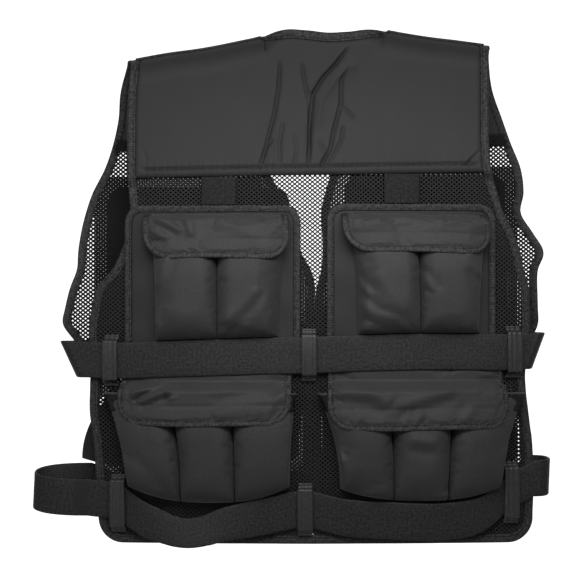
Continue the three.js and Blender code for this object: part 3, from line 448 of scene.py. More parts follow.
# Part of the front that is lined and shows almost no light: behind the pockets, at the fastening and the hem
def lined(side, x, h):
    left = (x > -263) & (h < -160) & ((x < -60) | (h < -212)) & ~((x < -240) & (h < -430) & (h > -490))
    right = (x > 50) & (h < -148) & ((x < 255) | (h > -218))
    middle = (np.abs(x - 5) < 60) & (h < -268)
    return (side == front) & ((left & (x < -50)) | right | middle | (h < -540))


def netPart(side, path):
    halfStep = net["across"] / 2
    low, high = path.min(0), path.max(0)
    u, j = np.meshgrid(np.arange(int(low[0] / halfStep) - 1, int(high[0] / halfStep) + 2),
                       np.arange(int(low[1] / net["row"]) - 1, int(high[1] / net["row"]) + 2))
    centres = np.stack([u.ravel(), j.ravel()], -1)[(u + j).ravel() % 2 == 0]
    centres = centres[insidePolygon(centres[:, 0] * halfStep, centres[:, 1] * net["row"], path)]
    around = np.array([[1, 0], [0, 1], [-1, 0], [0, -1]])
    tips = centres[:, None] + around
    shift, digits = 5000, 10000
    code = (tips[..., 0] + shift) * digits + tips[..., 1] + shift
    unique, index = np.unique(code, return_inverse=True)
    index = index.reshape(-1, 4)
    outer = np.stack([unique // digits - shift, unique % digits - shift], -1) * [halfStep, net["row"]]
    ringShape = [mix(around[k], around[n % 4], net["cut"] / 2) for k in range(4) for n in (k - 1, k + 1)]
    scale = np.where(lined(side, centres[:, 0] * halfStep, centres[:, 1] * net["row"]), net["lined"],
                     net["backOpen"] if side == back else net["frontOpen"])
    ring = centres[:, None] + np.array(ringShape)[None] * scale[:, None, None]
    inner = ring.reshape(-1, 2) * [halfStep, net["row"]]
    first = len(outer) + np.arange(len(centres))[:, None] * 8
    quads, triangles = [], []
    for k in range(4):
        n = (k + 1) % 4
        quads.append(np.stack([index[:, k], index[:, n], first[:, 0] + 2 * n, first[:, 0] + 2 * k + 1], -1))
        triangles.append(np.stack([index[:, k], first[:, 0] + 2 * k + 1, first[:, 0] + 2 * k], -1))
    flat = np.concatenate([outer, inner])
    points = lift(side, flat[:, 0], flat[:, 1], 0)
    quads, triangles = np.concatenate(quads), np.concatenate(triangles)
    if side == front:
        quads, triangles = quads[:, ::-1], triangles[:, ::-1]
    sheet = part(points, quads, flat)
    corners = dict(points=np.zeros((0, 3)), faces=triangles - len(points), uv=np.zeros((0, 2)), material=0)
    return [sheet, corners]


# Section of a folded tape, from its outer fold to its inner edge with the stitched groove
tapeSection = [
    (0.00, 0.50), (0.02, 0.74), (0.10, 0.93), (0.25, 1.00), (0.62, 0.98), (0.74, 0.84), (0.82, 0.93),
    (0.93, 0.90), (1.00, 0.72), (1.00, 0.30), (0.90, 0.04), (0.10, 0.04), (0.02, 0.24),
]
flatSection = [
    (0.00, 0.50), (0.01, 0.85), (0.04, 1.00), (0.25, 0.97), (0.50, 1.00), (0.75, 0.97), (0.96, 1.00),
    (0.99, 0.85), (1.00, 0.50), (0.99, 0.15), (0.96, 0.00), (0.50, 0.00), (0.04, 0.00), (0.01, 0.15),
]


def wander(s, period, height):
    phase = random.uniform(0, 6.28, 3)
    return height * sum(np.sin(s * 6.28 / period * k + p) / k for k, p in zip((1.0, 1.7, 3.1), phase)) / 2


def levelAt(out):
    return lambda x, h: out + 0 * x


# Binding tape folded over an edge, between two heights given as functions of the place, with its stitches
def tapeParts(side, path, width, low, high):
    s = arcLength(path)
    path = resample(path, int(s[-1] / 4) + 2)
    s = arcLength(path)
    inner = inset(side, path, width)
    rise = wander(s, *bindingTape["wave"])
    borders = []
    for offset in (low, high):
        borders.append([lift(side, q[:, 0], q[:, 1], offset(q[:, 0], q[:, 1]) + rise) for q in (path, inner)])
    seamLine = mix(path, inner, bindingTape["seamAt"])
    seam = stitchPart(side, seamLine, lambda x, h: mix(low(x, h), high(x, h), 0.93))
    return [bandPart(borders[0], borders[1], tapeSection, (s, abs(width))), seam]


# Row of stitches along a flat path, each a small raised bar
def stitchPart(side, path, out, width=stitch["width"]):
    total = arcLength(path)[-1]
    count = max(2, int(total / stitch["pitch"]))
    spots = resample(path, count * 2 + 1)
    middle, ahead, behind = spots[1::2], spots[2::2], spots[:-1:2]
    along = ahead - behind
    along /= np.linalg.norm(along, axis=1, keepdims=True)
    beside = np.stack([-along[:, 1], along[:, 0]], -1)
    shape = np.array([(-1, -1, -0.2), (1, -1, -0.2), (1, 1, -0.2), (-1, 1, -0.2),
                      (-0.7, -0.4, 0.35), (0.7, -0.4, 0.35), (0.7, 0.4, 0.35), (-0.7, 0.4, 0.35)])
    flat = middle[:, None] + along[:, None] * shape[None, :, :1] * stitch["length"] / 2
    flat = flat + beside[:, None] * shape[None, :, 1:2] * width / 2
    height = out(flat[..., 0], flat[..., 1]) + shape[None, :, 2]
    points = lift(side, flat[..., 0], flat[..., 1], height)
    box = np.array([(4, 5, 6, 7), (0, 1, 5, 4), (1, 2, 6, 5), (2, 3, 7, 6), (3, 0, 4, 7), (0, 3, 2, 1)])
    if side == front:
        box = box[:, ::-1]
    faces = (np.arange(len(middle))[:, None, None] * 8 + box[None]).reshape(-1, 4)
    return part(points, faces, flat, material=1)


def panelFaces(side):
    def onYoke(x, h):
        return smooth((h - hemAt(side, x)) / bindingTape["width"] + 1)
    half = bindingTape["thickness"] / 2
    return (lambda x, h: mix(-half, layer["onNet"] - layer["gap"], onYoke(x, h)),
            lambda x, h: mix(half, layer["onNet"] + layer["yoke"] + layer["gap"], onYoke(x, h)))


# Panels with their bindings
panels = [
    dict(name="back_panel", binding="back_binding", side=back, edges=("backLeft", "backRight"),
         flat=(0.53, 0.47)),
    dict(name="front_panel_left", binding="front_binding_left", side=front, edges=("frontLeft", "vLeft"),
         flat=(0.30, 0.50)),
    dict(name="front_panel_right", binding="front_binding_right", side=front, edges=("vRight", "frontRight"),
         flat=(0.30, 0.50)),
]
for row in panels:
    side = row["side"]
    left, right = edgePath(side, row["edges"][0], 1), edgePath(side, row["edges"][1], -1)
    row["left"], row["right"] = left, right
    path = roundPath(left, right, 90)
    tape = tapeParts(side, path, bindingTape["width"], *panelFaces(side))
    sew(row["binding"], "binding", tape, grosgrain, thread)
    inside = moved(path, net["under"])
    inside = inside[inside[:, 1] < hemAt(side, inside[:, 0]) + vest["yokeLap"]]
    sheet = sew(row["name"], "net", netPart(side, inside), netThread if side == back else frontNetWithPaintedShade)

# Folds of the cloth: each is a line through points, with its width, its height and a lit crest beside it.
# A low power makes the line a crease.
def foldRelief(rows, x, h, power=2.0):
    rise = np.zeros(np.shape(x))
    for width, height, crest, *points in rows:
        nearest = np.full(np.shape(x), 1e9)
        beside = np.zeros(np.shape(x))
        share = np.zeros(np.shape(x))
        for k, ((x0, h0), (x1, h1)) in enumerate(zip(points[:-1], points[1:])):
            dx, dh = x1 - x0, h1 - h0
            t = np.clip(((x - x0) * dx + (h - h0) * dh) / (dx * dx + dh * dh), 0, 1)
            away = np.hypot(x - x0 - t * dx, h - h0 - t * dh)
            sign = np.sign((x - x0) * dh - (h - h0) * dx)
            closer = away < nearest
            nearest = np.where(closer, away, nearest)
            beside = np.where(closer, away * sign, beside)
            share = np.where(closer, (k + t) / (len(points) - 1), share)
        fade = np.clip(1.15 - np.abs(2 * share - 1) ** 6, 0, 1)
        rise += fade * (height * np.exp(-(nearest / width) ** power)
                        + crest * np.exp(-((beside - 1.5 * width) / width) ** 2))
    return rise


# Back yoke: padded nylon with creases below the neck and puckers along its stitched hem
yoke = dict(columns=270, rows=112, hemBand=10, pucker=0.3, puckerPitch=8.5, border=7)
yokeFolds = [
    (1.7, -4.6, 0.8, (-36, -24), (-38, -58), (-43, -90), (-52, -126), (-61, -156)),
    (1.6, -3.6, 0.7, (-10, -26), (-7, -48), (-2, -70), (-1, -110), (-3, -148)),
    (2.0, -6.4, 2.2, (46, -8), (30, -28), (16, -43), (3, -64), (-1, -110), (-2, -150)),
    (6.0, 2.6, 0.0, (58, -24), (32, -44), (14, -72), (8, -110)),
    (1.7, -4.6, 0.8, (48, -29), (38, -47), (37, -76), (28, -110), (24, -132), (12, -152)),
    (1.6, -2.8, 0.6, (38, -79), (46, -87), (54, -95)),
    (1.6, -3.0, 0.7, (40, -103), (38, -120), (22, -150)),
    (1.6, -2.6, 0.7, (-32, -98), (-36, -122), (-36, -150)),
    (1.5, -2.0, 0.5, (-20, -112), (-16, -132), (-20, -152)),
    (1.5, -2.2, 0.5, (-58, -150), (-52, -132), (-44, -120)),
    (1.6, -2.4, 0.6, (14, -152), (20, -138), (10, -120)),
    (2.0, -2.4, 0.8, (206, -132), (196, -142), (188, -150)),
    (1.6, -1.8, 0.5, (-204, -128), (-196, -146)),
]
panelLeft, panelRight = panels[0]["left"], panels[0]["right"]
turn = np.linspace(0, math.pi / 2, 14)
neckX = vest["neckLeft"] + vest["neckCorner"] * (1 - np.cos(turn))
neckX = np.concatenate([neckX, line([neckX[-1]], [vest["neckRight"] - vest["neckCorner"]], 12)[1:-1, 0],
                        vest["neckRight"] - vest["neckCorner"] * (1 - np.cos(turn[::-1]))])
neckEdge = np.stack([neckX, ridgeHeight(back, neckX) - np.maximum(seamGap, neckCut(neckX))], -1)


def seamLine(side, start, end, count):
    x = np.linspace(start, end, count)
    return np.stack([x, ridgeHeight(side, x) - seamGap], -1)


def toHem(side, path, distance, rows):
    path = inset(side, path, distance)
    hem = hemAt(side, path[0, 0])
    end = np.interp(-hem, -path[:, 1], path[:, 0]), hem
    return resample(np.concatenate([path[path[:, 1] > hem], [end]]), rows)


def edgeFade(grid, width):
    span = np.linalg.norm(np.diff(grid, axis=1), axis=-1).sum(1).mean()
    drop = np.linalg.norm(np.diff(grid, axis=0), axis=-1).sum(0).mean()
    u = np.linspace(0, 1, grid.shape[1])[None, :]
    v = np.linspace(0, 1, grid.shape[0])[:, None]
    near = np.minimum(np.minimum(u, 1 - u) * span, np.minimum(v, 1 - v) * drop)
    k = 1 - np.clip(near / width, 0, 1)
    return np.sqrt(1 - k * k * 0.9)


left = toHem(back, panelLeft, bindingTape["inset"], yoke["rows"])
right = toHem(back, panelRight, -bindingTape["inset"], yoke["rows"])
neckInner = inset(back, neckEdge, -bindingTape["inset"])
top = resample(np.concatenate([seamLine(back, left[0, 0], neckInner[0, 0], 40)[:-1], neckInner,
                               seamLine(back, neckInner[-1, 0], right[0, 0], 40)[1:]]), yoke["columns"])
grid = patch(top, line(left[-1], right[-1], yoke["columns"]), left, right)
x, h = grid[..., 0], grid[..., 1]
stitchLine = hemAt(back, x) + yoke["hemBand"]
puckers = yoke["pucker"] * (np.sin(x * 6.28 / yoke["puckerPitch"]) + 0.7 * np.sin(x * 6.28 / 5.3 + 1)
                            + 0.8 * np.sin(x / 11))
puckers = puckers * np.exp(-((h - stitchLine) / 9) ** 2)
relief = foldRelief(yokeFolds, x, h, 1.1) + puckers - 2.6 * np.exp(-((h - stitchLine) / 1.5) ** 2)
relief = relief * smooth((np.minimum(x - left[0, 0], right[0, 0] - x)) / 12)
full = layer["onNet"] + relief * 0.7
shell = shellPart(back, grid, full, full + layer["yoke"] * edgeFade(grid, yoke["border"]) + relief * 0.3)
row = line([left[-1, 0] + 2, 0], [right[-1, 0] - 2, 0], 60)
row[:, 1] = hemAt(back, row[:, 0]) + yoke["hemBand"]
seam = stitchPart(back, row, lambda x, h: layer["onNet"] + layer["yoke"] - 1.6)
backYoke = sew("back_yoke", "nylon", [shell, seam], paddedNylonWithPaintedShade, thread)
neckTape = tapeParts(back, neckEdge, -bindingTape["width"], levelAt(layer["onNet"] - layer["gap"]),
                     levelAt(layer["onNet"] + layer["yoke"] + layer["gap"]))
sew("neck_binding", "binding", neckTape, grosgrain, thread)

for half, row in zip(("left", "right"), panels[1:]):
    sides = [toHem(front, row["left"], bindingTape["inset"], 60),
             toHem(front, row["right"], -bindingTape["inset"], 60)]
    top = seamLine(front, sides[0][0, 0], sides[1][0, 0], 70)
    grid = patch(top, line(sides[0][-1], sides[1][-1], 70), *sides)
    x, h = grid[..., 0], grid[..., 1]
    groove = -1.6 * np.exp(-((h - hemAt(front, x) - yoke["hemBand"]) / 1.6) ** 2)
    full = layer["onNet"] + layer["yoke"] * edgeFade(grid, yoke["border"]) + groove
    piece = sew("front_yoke_" + half, "nylon", shellPart(front, grid, layer["onNet"], full), paddedNylonWithPaintedShade)

# Tapes over the shoulder seams, between the bindings of the armhole and the neck
shoulderTape = dict(clear=5.3, half=7, thickness=3.2)
for half, start, end in (("left", edgeAt("backLeft", -vest["drop"]), vest["neckLeft"]),
                         ("right", vest["neckRight"], edgeAt("backRight", -vest["drop"]))):
    x = np.linspace(start + shoulderTape["clear"], end - shoulderTape["clear"], 50)[:, None]
    s = np.linspace(-shoulderTape["half"], shoulderTape["half"], 13)[None, :]
    low = layer["onNet"] + layer["yoke"] - 1
    inner, outer = [np.where(s[..., None] < 0, lift(back, x, ridgeHeight(back, x) - np.abs(s), low + up),
                             lift(front, x, ridgeHeight(front, x) - np.abs(s), low + up))
                    for up in (0, shoulderTape["thickness"])]
    uv = np.stack(np.broadcast_arrays(x, s), -1)
    sew("shoulder_tape_" + half, "binding", closedPart(inner, outer, uv), grosgrain)
print("yokes and tapes ready")

# Belts: across in shares of the half span, top in shares of the height, stand in shares of the belt's width
beltWidth = 44
beltRuns = dict(
    upperBack=table("across top stand", [
        [-0.99, 0.598, 0.085], [-0.83, 0.600, 0.085], [-0.50, 0.595, 0.085], [0.00, 0.588, 0.085],
        [0.45, 0.582, 0.085], [0.85, 0.583, 0.085], [0.94, 0.581, 0.085],
    ]),
    upperFront=table("across top stand", [
        [-0.99, 0.598, 0.045], [0.00, 0.592, 0.045], [0.94, 0.581, 0.045],
    ]),
    lowerBack=table("across top stand", [
        [-0.92, 0.874, 0.050], [-0.80, 0.882, 0.020], [-0.75, 0.896, 0.080], [-0.69, 0.915, 0.150],
        [-0.62, 0.930, 0.200], [-0.56, 0.943, 0.230], [-0.50, 0.948, 0.240], [-0.44, 0.942, 0.230],
        [-0.36, 0.926, 0.200], [-0.20, 0.909, 0.120], [-0.02, 0.894, 0.020], [0.14, 0.909, 0.120],
        [0.36, 0.916, 0.200], [0.56, 0.917, 0.200], [0.72, 0.904, 0.120], [0.84, 0.862, 0.020],
        [0.94, 0.836, 0.040],
    ]),
    lowerFront=table("across top stand", [
        [-0.92, 0.846, 0.100], [-0.82, 0.868, 0.100], [-0.60, 0.905, 0.140], [0.00, 0.900, 0.030],
        [0.60, 0.905, 0.140], [0.82, 0.862, 0.080], [0.94, 0.830, 0.050],
    ]),
)
# Lower edge of the lower belt: where it sags it leans out of the vest and looks narrower
beltTwist = table("across width out", [
    [-0.99, 1.00, 0], [-0.75, 1.00, 0], [-0.62, 0.91, 7], [-0.51, 0.82, 13], [-0.42, 0.87, 11],
    [-0.28, 0.96, 4], [-0.15, 1.00, 0], [0.94, 1.00, 0],
])

# Pockets: left and right end of each edge in shares of the half span, and its level in shares of the height.
# The upper ones have two channels and lie on a backing; the lower ones have three and lie on the net.
pockets = [
    dict(name="back_upper_left", mouth=(-0.665, -0.095, 0.362), bottom=(-0.640, -0.130, 0.586),
         seam=(-0.690, -0.095, 0.345), flap=(-0.680, -0.075, 0.436), walls=(8, 15), flapStitch=23,
         flapFolds=[(5, 2.0, -1.2, (-185, -213), (-150, -232)), (5, 1.8, -1.0, (-190, -228), (-165, -240)),
                    (6, 1.8, -1.0, (-150, -205), (-138, -238)), (8, 1.0, 0, (-110, -215), (-60, -240))],
         folds=[(5, -1.5, 1.2, (-160, -262), (-170, -300)), (8, 2.0, 0, (-105, -330), (-70, -345)),
                (6, -1.8, 1.4, (-55, -305), (-80, -335), (-100, -350)),
                (5, -1.6, 1.0, (-46, -275), (-58, -310)),
                (9, 1.4, 0, (-170, -320), (-140, -345)), (5, -1.2, 0.8, (-182, -300), (-170, -345))]),
    dict(name="back_upper_right", mouth=(0.165, 0.735, 0.360), bottom=(0.200, 0.705, 0.576),
         seam=(0.130, 0.732, 0.345), flap=(0.140, 0.755, 0.424), walls=(12, 9), flapStitch=23,
         flapFolds=[(9, 1.0, 0, (60, -225), (120, -205)), (7, 1.0, 0, (150, -222), (195, -205))],
         folds=[(5, -2.2, 1.8, (50, -272), (76, -305)), (9, 2.2, 0, (70, -280), (115, -330)),
                (6, -1.8, 1.4, (56, -300), (80, -322), (122, -338)), (7, -1.6, 1.2, (60, -335), (105, -345)),
                (8, 1.6, 0, (140, -330), (190, -345)), (5, -1.4, 1.0, (135, -275), (150, -300)),
                (5, -1.4, 1.0, (198, -290), (182, -275))]),
    dict(name="back_lower_left", mouth=(-0.860, -0.060, 0.700), bottom=(-0.760, -0.085, 0.886),
         seam=(-0.785, -0.075, 0.650), flap=(-0.790, -0.085, 0.764), flapRise=0.676, sag=0.032,
         walls=(4, 4), flapStitch=24,
         flapFolds=[(4, 3.2, -2.2, (-210, -428), (-172, -410)), (4, 2.6, -1.8, (-200, -436), (-160, -418)),
                    (5, 2.0, -1.2, (-165, -412), (-160, -432)), (9, -1.6, 1.2, (-118, -434), (-30, -414)),
                    (5, 1.0, 0, (-60, -440), (-70, -456)), (5, 1.0, 0, (-45, -438), (-55, -456))],
         folds=[(8, -1.4, 1.0, (-215, -490), (-160, -548)), (9, 1.2, 0, (-150, -530), (-90, -552))]),
    dict(name="back_lower_right", mouth=(0.030, 0.895, 0.700), bottom=(0.125, 0.795, 0.890),
         seam=(0.075, 0.800, 0.650), flap=(0.070, 0.815, 0.772), flapRise=0.674, sag=0.024,
         walls=(5, 4), flapStitch=25,
         flapFolds=[(9, 2.4, -1.4, (30, -418), (75, -424), (95, -436)),
                    (8, 2.0, -1.2, (100, -438), (170, -420)),
                    (5, 1.4, -0.8, (118, -446), (108, -462)), (5, 1.4, -0.8, (130, -444), (120, -462)),
                    (5, 1.2, -0.7, (60, -446), (52, -462)), (6, 1.2, -0.6, (190, -440), (176, -458))],
         folds=[(8, -2.6, 2.0, (24, -470), (46, -500)), (7, -2.0, 1.6, (45, -540), (90, -528)),
                (7, 2.0, -1.2, (115, -478), (150, -484)), (7, -1.8, 1.4, (120, -548), (165, -535)),
                (7, -1.6, 1.2, (225, -490), (240, -470))]),
    dict(name="front_upper_left", mouth=(-0.820, -0.150, 0.370), bottom=(-0.800, -0.150, 0.560),
         seam=(-0.830, -0.135, 0.345), flap=(-0.830, -0.135, 0.440)),
    dict(name="front_upper_right", mouth=(0.200, 0.790, 0.370), bottom=(0.200, 0.780, 0.560),
         seam=(0.180, 0.800, 0.345), flap=(0.180, 0.800, 0.440)),
    dict(name="front_lower_left", mouth=(-0.860, -0.030, 0.712), bottom=(-0.965, -0.045, 0.836),
         seam=(-0.850, -0.020, 0.694), flap=(-0.850, -0.020, 0.775), sag=0.030),
    dict(name="front_lower_right", mouth=(0.050, 0.870, 0.712), bottom=(0.060, 0.880, 0.836),
         seam=(0.045, 0.850, 0.694), flap=(0.045, 0.850, 0.775), sag=0.030),
]
for row in pockets:
    row["side"] = back if row["name"].startswith("back") else front
    row["channels"], row["base"] = (2, layer["onBacking"]) if "upper" in row["name"] else (3, layer["onNet"])
    row["depth"] = 24 if row["side"] == back else 22
    for key, value in dict(walls=(9, 9), folds=[], flapFolds=[], flapStitch=22, sag=0).items():
        row.setdefault(key, value)
    row.setdefault("flapRise", row["seam"][2])
foldGain = dict(pocket=1.8, flap=1.6)

# Cloth simulation of a pinned panel: pressure fills it, and cloth wider than its frame wrinkles at the seams
clothSettings = dict(
    pocket=dict(frames=20, pressure=4.0, slack=-0.02, stiffness=12, bending=0.4, cap=5.0),
    flap=dict(frames=14, pressure=0.5, slack=-0.02, stiffness=12, bending=0.25, cap=2.5),
)


def inflate(points, pinned, side, settings, name):
    rows, columns = points.shape[:2]
    faces = quadsOf(rows, columns)
    a, b, c = (points.reshape(-1, 3)[faces[:, k]] for k in range(3))
    if np.cross(b - a, c - a)[:, 1].sum() * side < 0:
        faces = faces[:, ::-1]
    mesh = bpy.data.meshes.new("trial")
    mesh.from_pydata((points.reshape(-1, 3) / 100).tolist(), [], faces.tolist())
    trial = addObject("trial", mesh)
    scene = bpy.context.scene
    pins = trial.vertex_groups.new(name="pins")
    pins.add(np.flatnonzero(pinned.ravel()).tolist(), 1.0, "REPLACE")
    cloth = trial.modifiers.new("Cloth", "CLOTH")
    values = cloth.settings
    values.vertex_group_mass = "pins"
    values.quality = 6
    values.mass = 0.3
    values.tension_stiffness = values.compression_stiffness = values.shear_stiffness = settings["stiffness"]
    values.bending_stiffness = settings["bending"]
    values.use_pressure = True
    values.uniform_pressure_force = settings["pressure"]
    values.shrink_min = settings["slack"]
    values.effector_weights.gravity = 0
    cloth.collision_settings.use_collision = False
    cloth.point_cache.frame_end = settings["frames"]
    for moment in range(1, settings["frames"] + 1):
        scene.frame_set(moment)
    result = trial.evaluated_get(bpy.context.evaluated_depsgraph_get()).to_mesh()
    found = np.empty(rows * columns * 3)
    result.vertices.foreach_get("co", found)
    move = found.reshape(points.shape) * 100 - points
    size = np.linalg.norm(move, axis=-1, keepdims=True)
    print("cloth", name, "mean move", round(float(size.mean()), 2), "largest", round(float(size.max()), 2))
    move *= np.minimum(1, settings["cap"] / np.maximum(size, 1e-6))
    bpy.data.objects.remove(trial)
    scene.frame_set(1)
    return points + move


# Backings under the upper pockets and straps above them
backings = [
    dict(name="back_left", side=back, span=(-0.772, -0.040), top=0.328, bottom=0.615, flat=(0.214, 0.160)),
    dict(name="back_right", side=back, span=(0.070, 0.775), top=0.325, bottom=0.605, flat=(0.206, 0.156)),
    dict(name="front_left", side=front, span=(-0.860, -0.085), top=0.288, bottom=0.612, flat=(0.224, 0.200)),
    dict(name="front_right", side=front, span=(0.150, 0.835), top=0.262, bottom=0.602, flat=(0.199, 0.209)),
]
backingCorner = 20
for row in backings:
    side, name = row["side"], row["name"] + "_backing"
    left, right = [across * halfSpan for across in row["span"]]
    top, bottom = levelOf(row["top"]), levelOf(row["bottom"])
    below = top - backingCorner
    borders = [np.concatenate([corner((x + turned, top), (x, top), (x, below), 9),
                               line((x, below), (x, bottom), 26)[1:]])
               for x, turned in ((left, backingCorner), (right, -backingCorner))]
    whole = np.concatenate([borders[1][::-1], line(borders[1][0], borders[0][0], 40)[1:-1], borders[0]])
    inner = moved(whole, bindingTape["flapInset"] if side == back else 0.01)
    n = len(borders[0])
    grid = patch(inner[n - 1:-n + 1][::-1], line(inner[-1], inner[0], 40), inner[-n:], inner[:n][::-1])
    x, h = grid[..., 0], grid[..., 1]
    beside = np.abs(x - (left + right) / 2) - (right - left) / 2 + 16
    low = layer["onNet"] + 0.5 * np.sin(h / 9 + x / 23) * np.exp(-(beside / 12) ** 2)
    piece = sew(name, "nylon", shellPart(side, grid, low, low + layer["backing"]), paddedNylonWithPaintedShade)
    if side == back:
        tape = tapeParts(side, whole, bindingTape["flapWidth"], levelAt(layer["onNet"]),
                         levelAt(layer["onNet"] + bindingTape["thickness"]))
        sew(name + "_binding", "binding", tape, grosgrain, thread)

strapWidth = 43
for name, across, backing in (("back_strap_left", -0.380, 0), ("back_strap_right", 0.383, 1)):
    x = across * halfSpan
    h = np.linspace(hemAt(back, x) - 0.5, levelOf(backings[backing]["top"]) + 0.5, 30)
    borders = [[lift(back, x + k * strapWidth / 2, h, out) for k in (-1, 1)]
               for out in (layer["onNet"], layer["onNet"] + layer["webbing"])]
    sew(name, "webbing", bandPart(*borders, flatSection, (-h, strapWidth)), strapWebbingWithPaintedShade)


def pocketLevels(row):
    return levelOf(row["mouth"][2]), levelOf(row["bottom"][2])


def pocketSides(row, b):
    drawn = 1 - (1 - np.clip(b, 0, 1)) ** 2
    return [halfSpan * mix(row["mouth"][k], row["bottom"][k], drawn) for k in (0, 1)]


def pocketPlace(row, x, h):
    top, bottom = pocketLevels(row)
    b = (top - h) / (top - bottom)
    left, right = pocketSides(row, b)
    return (x - left) / (right - left), b


# Form of a filled pocket: shares of its depth, and its dips at the channel seams with how sharp each one is
pocketForm = dict(mouth=0.62, full=0.97, bottom=0.97, crown=0.05, dips=((0.72, 30), (0.10, 6)), least=1.2)


def coverHeight(row, a, b):
    toward = np.clip(np.abs(2 * a - 1), 0, 1)
    return row["depth"] * mix(pocketForm["mouth"], 1, smooth(np.clip(b, 0, 1) * 2)) * (1 - 0.3 * toward ** 5)


# Height of a pocket's front: it rises over its side walls, swells below the mouth and dips at the seams
def pocketHeight(row, a, b):
    left, right = pocketSides(row, b)
    width = right - left
    rise = [np.sin(np.clip(d / w, 0, 1) * math.pi / 2) ** 0.7
            for d, w in zip((a * width, (1 - a) * width), row["walls"])]
    belly = mix(pocketForm["mouth"], 1, smooth(b * 2)) * (1 - pocketForm["bottom"] * b ** 12) ** 0.5
    t = a * row["channels"]
    near = np.abs(t - np.round(t))
    inner = (t > 0.5) & (t < row["channels"] - 0.5)
    valley = sum(depth * (1 - 2 * near) ** power for depth, power in pocketForm["dips"])
    valley = np.where(inner, valley, 0) * smooth(b * 3)
    crown = 1 + pocketForm["crown"] * np.cos((2 * near - 1) * math.pi / 2)
    return row["depth"] * pocketForm["full"] * belly * np.minimum(*rise) * (1 - valley) * crown


for row in pockets:
    side, channels, name = row["side"], row["channels"], row["name"] + "_pocket"
    t = np.linspace(0, channels, channels * (30 if side == back else 16) + 1)
    a = (t - 0.88 * np.sin(2 * math.pi * t) / (2 * math.pi)) / channels
    s = np.linspace(0, 1, 52 if side == back else 26)
    a, b = np.meshgrid(a, 1 - (1 - s) ** 1.5)
    left, right = pocketSides(row, b)
    top, bottom = pocketLevels(row)
    x = mix(left, right, a)
    h = mix(top, bottom, b) - row["sag"] * vest["height"] * b ** 3 * (1 - np.abs(2 * a - 1) ** 2.5)
    if channels == 2 and side == back:
        beltTop = levelOf(curve(beltRuns["upperBack"], "across", "top", x / halfSpan)) + 0.8
        h = mix(h, mix(top, beltTop, b), b ** 2)
    height = pocketHeight(row, a, b)
    folds = foldGain["pocket"] * foldRelief(row["folds"], x, h) * np.minimum(1, height / 12)
    outer = lift(side, x, h, row["base"] + np.maximum(height + folds, pocketForm["least"]))
    # Held at the mouth, the bottom, both sides and the channel seams
    if side == back:
        border = np.minimum(a, 1 - a) * (right - left)
        onSeam = np.abs(a - np.round(a * channels) / channels) < 0.003
        pinned = (b < 0.02) | (b > 0.98) | (border < 4) | onSeam
        outer = inflate(outer, pinned, side, clothSettings["pocket"], row["name"])
    shell = closedPart(lift(side, x, h, row["base"]), outer, np.stack([x, h], -1))
    piece = sew(name, "nylon", shell, nylon, thread)
    if side == back and channels == 3:
        a, b = np.broadcast_arrays(a[:1], np.linspace(1.5, 21.5, 12)[:, None] / (top - bottom))
        x, h = mix(*pocketSides(row, b), a), mix(top, bottom, b)
        low = row["base"] + np.maximum(pocketHeight(row, a, b), pocketForm["least"]) + 0.4
        tape = shellPart(side, np.stack([x, h], -1), low, low + layer["hookTape"])
        sew(row["name"] + "_hook_tape", "hook_tape", tape, hookPile)
print("pockets ready")


flapCorner, flapClear = 30, 3.8


# Underside of a flap: it rises from its seam over the mouth and lies on the pocket
def flapUnder(row, x, h):
    a, b = pocketPlace(row, x, h)
    rise = levelOf(row["flapRise"])
    over = smooth((rise - h) / (rise - pocketLevels(row)[0]))
    return row["base"] + (coverHeight(row, a, b) + flapClear) * over


for row in pockets:
    side, name = row["side"], row["name"] + "_flap"
    seam, low = [[np.array([across * halfSpan, levelOf(row[key][2])]) for across in row[key][:2]]
                 for key in ("seam", "flap")]
    borders = []
    for start, end, inward in zip(seam, low, (flapCorner, -flapCorner)):
        turnAt = mix(start, end, 1 - flapCorner / np.linalg.norm(end - start))
        bent = corner(turnAt, end, end + [inward, 0], 20)
        borders.append(np.concatenate([line(start, turnAt, 28), bent[1:]]))
    path = roundPath(borders[0], borders[1], 100)
    inner = moved(path, bindingTape["flapInset"] if side == back else 0.01)
    n = len(borders[0])
    grid = patch(line(inner[0], inner[-1], 100), inner[n - 1:-n + 1], inner[:n], inner[-n:][::-1])
    x, h = grid[..., 0], grid[..., 1]
    stitchAt = low[0][1] + row["flapStitch"]
    relief = foldGain["flap"] * foldRelief(row["flapFolds"], x, h) - 1.7 * np.exp(-np.abs(h - stitchAt) / 1.1)
    under = flapUnder(row, x, h) + relief * smooth((levelOf(row["flapRise"]) - h) / 10)
    outer = lift(side, x, h, under + layer["flap"])
    move = 0
    if side == back:
        pinned = np.zeros(x.shape, bool)
        pinned[[0, -1]] = pinned[:, [0, -1]] = True
        move = inflate(outer, pinned, side, clothSettings["flap"], name) - outer
    parts = [closedPart(lift(side, x, h, under) + move, outer + move, grid)]
    if side == back:
        seamRow = line((low[0][0] + 9, stitchAt), (low[1][0] - 9, stitchAt), 50)
        parts.append(stitchPart(side, seamRow, lambda x, h: flapUnder(row, x, h) + 1.0, width=0.9))
    piece = sew(name, "nylon", parts, nylon, thread)
    if side == back:
        tape = tapeParts(side, path, bindingTape["flapWidth"], lambda x, h: flapUnder(row, x, h) - 0.2,
                         lambda x, h: flapUnder(row, x, h) + bindingTape["thickness"])
        sew(name + "_binding", "binding", tape, grosgrain, thread)
print("flaps ready")

# Belts: a ring of webbing each, through its runs on both sides, turned round at the armholes
belts = [dict(name="upper", reach=(14, 11), lean=(20, 16)), dict(name="lower", reach=(66, 18), lean=(-2, 2))]


def runAt(belt, side, x):
    run = beltRuns[belt["name"] + ("Back" if side == back else "Front")]
    top, stand = (curve(run, "across", name, x / halfSpan) for name in ("top", "stand"))
    return levelOf(top), 2.1 + beltWidth * stand


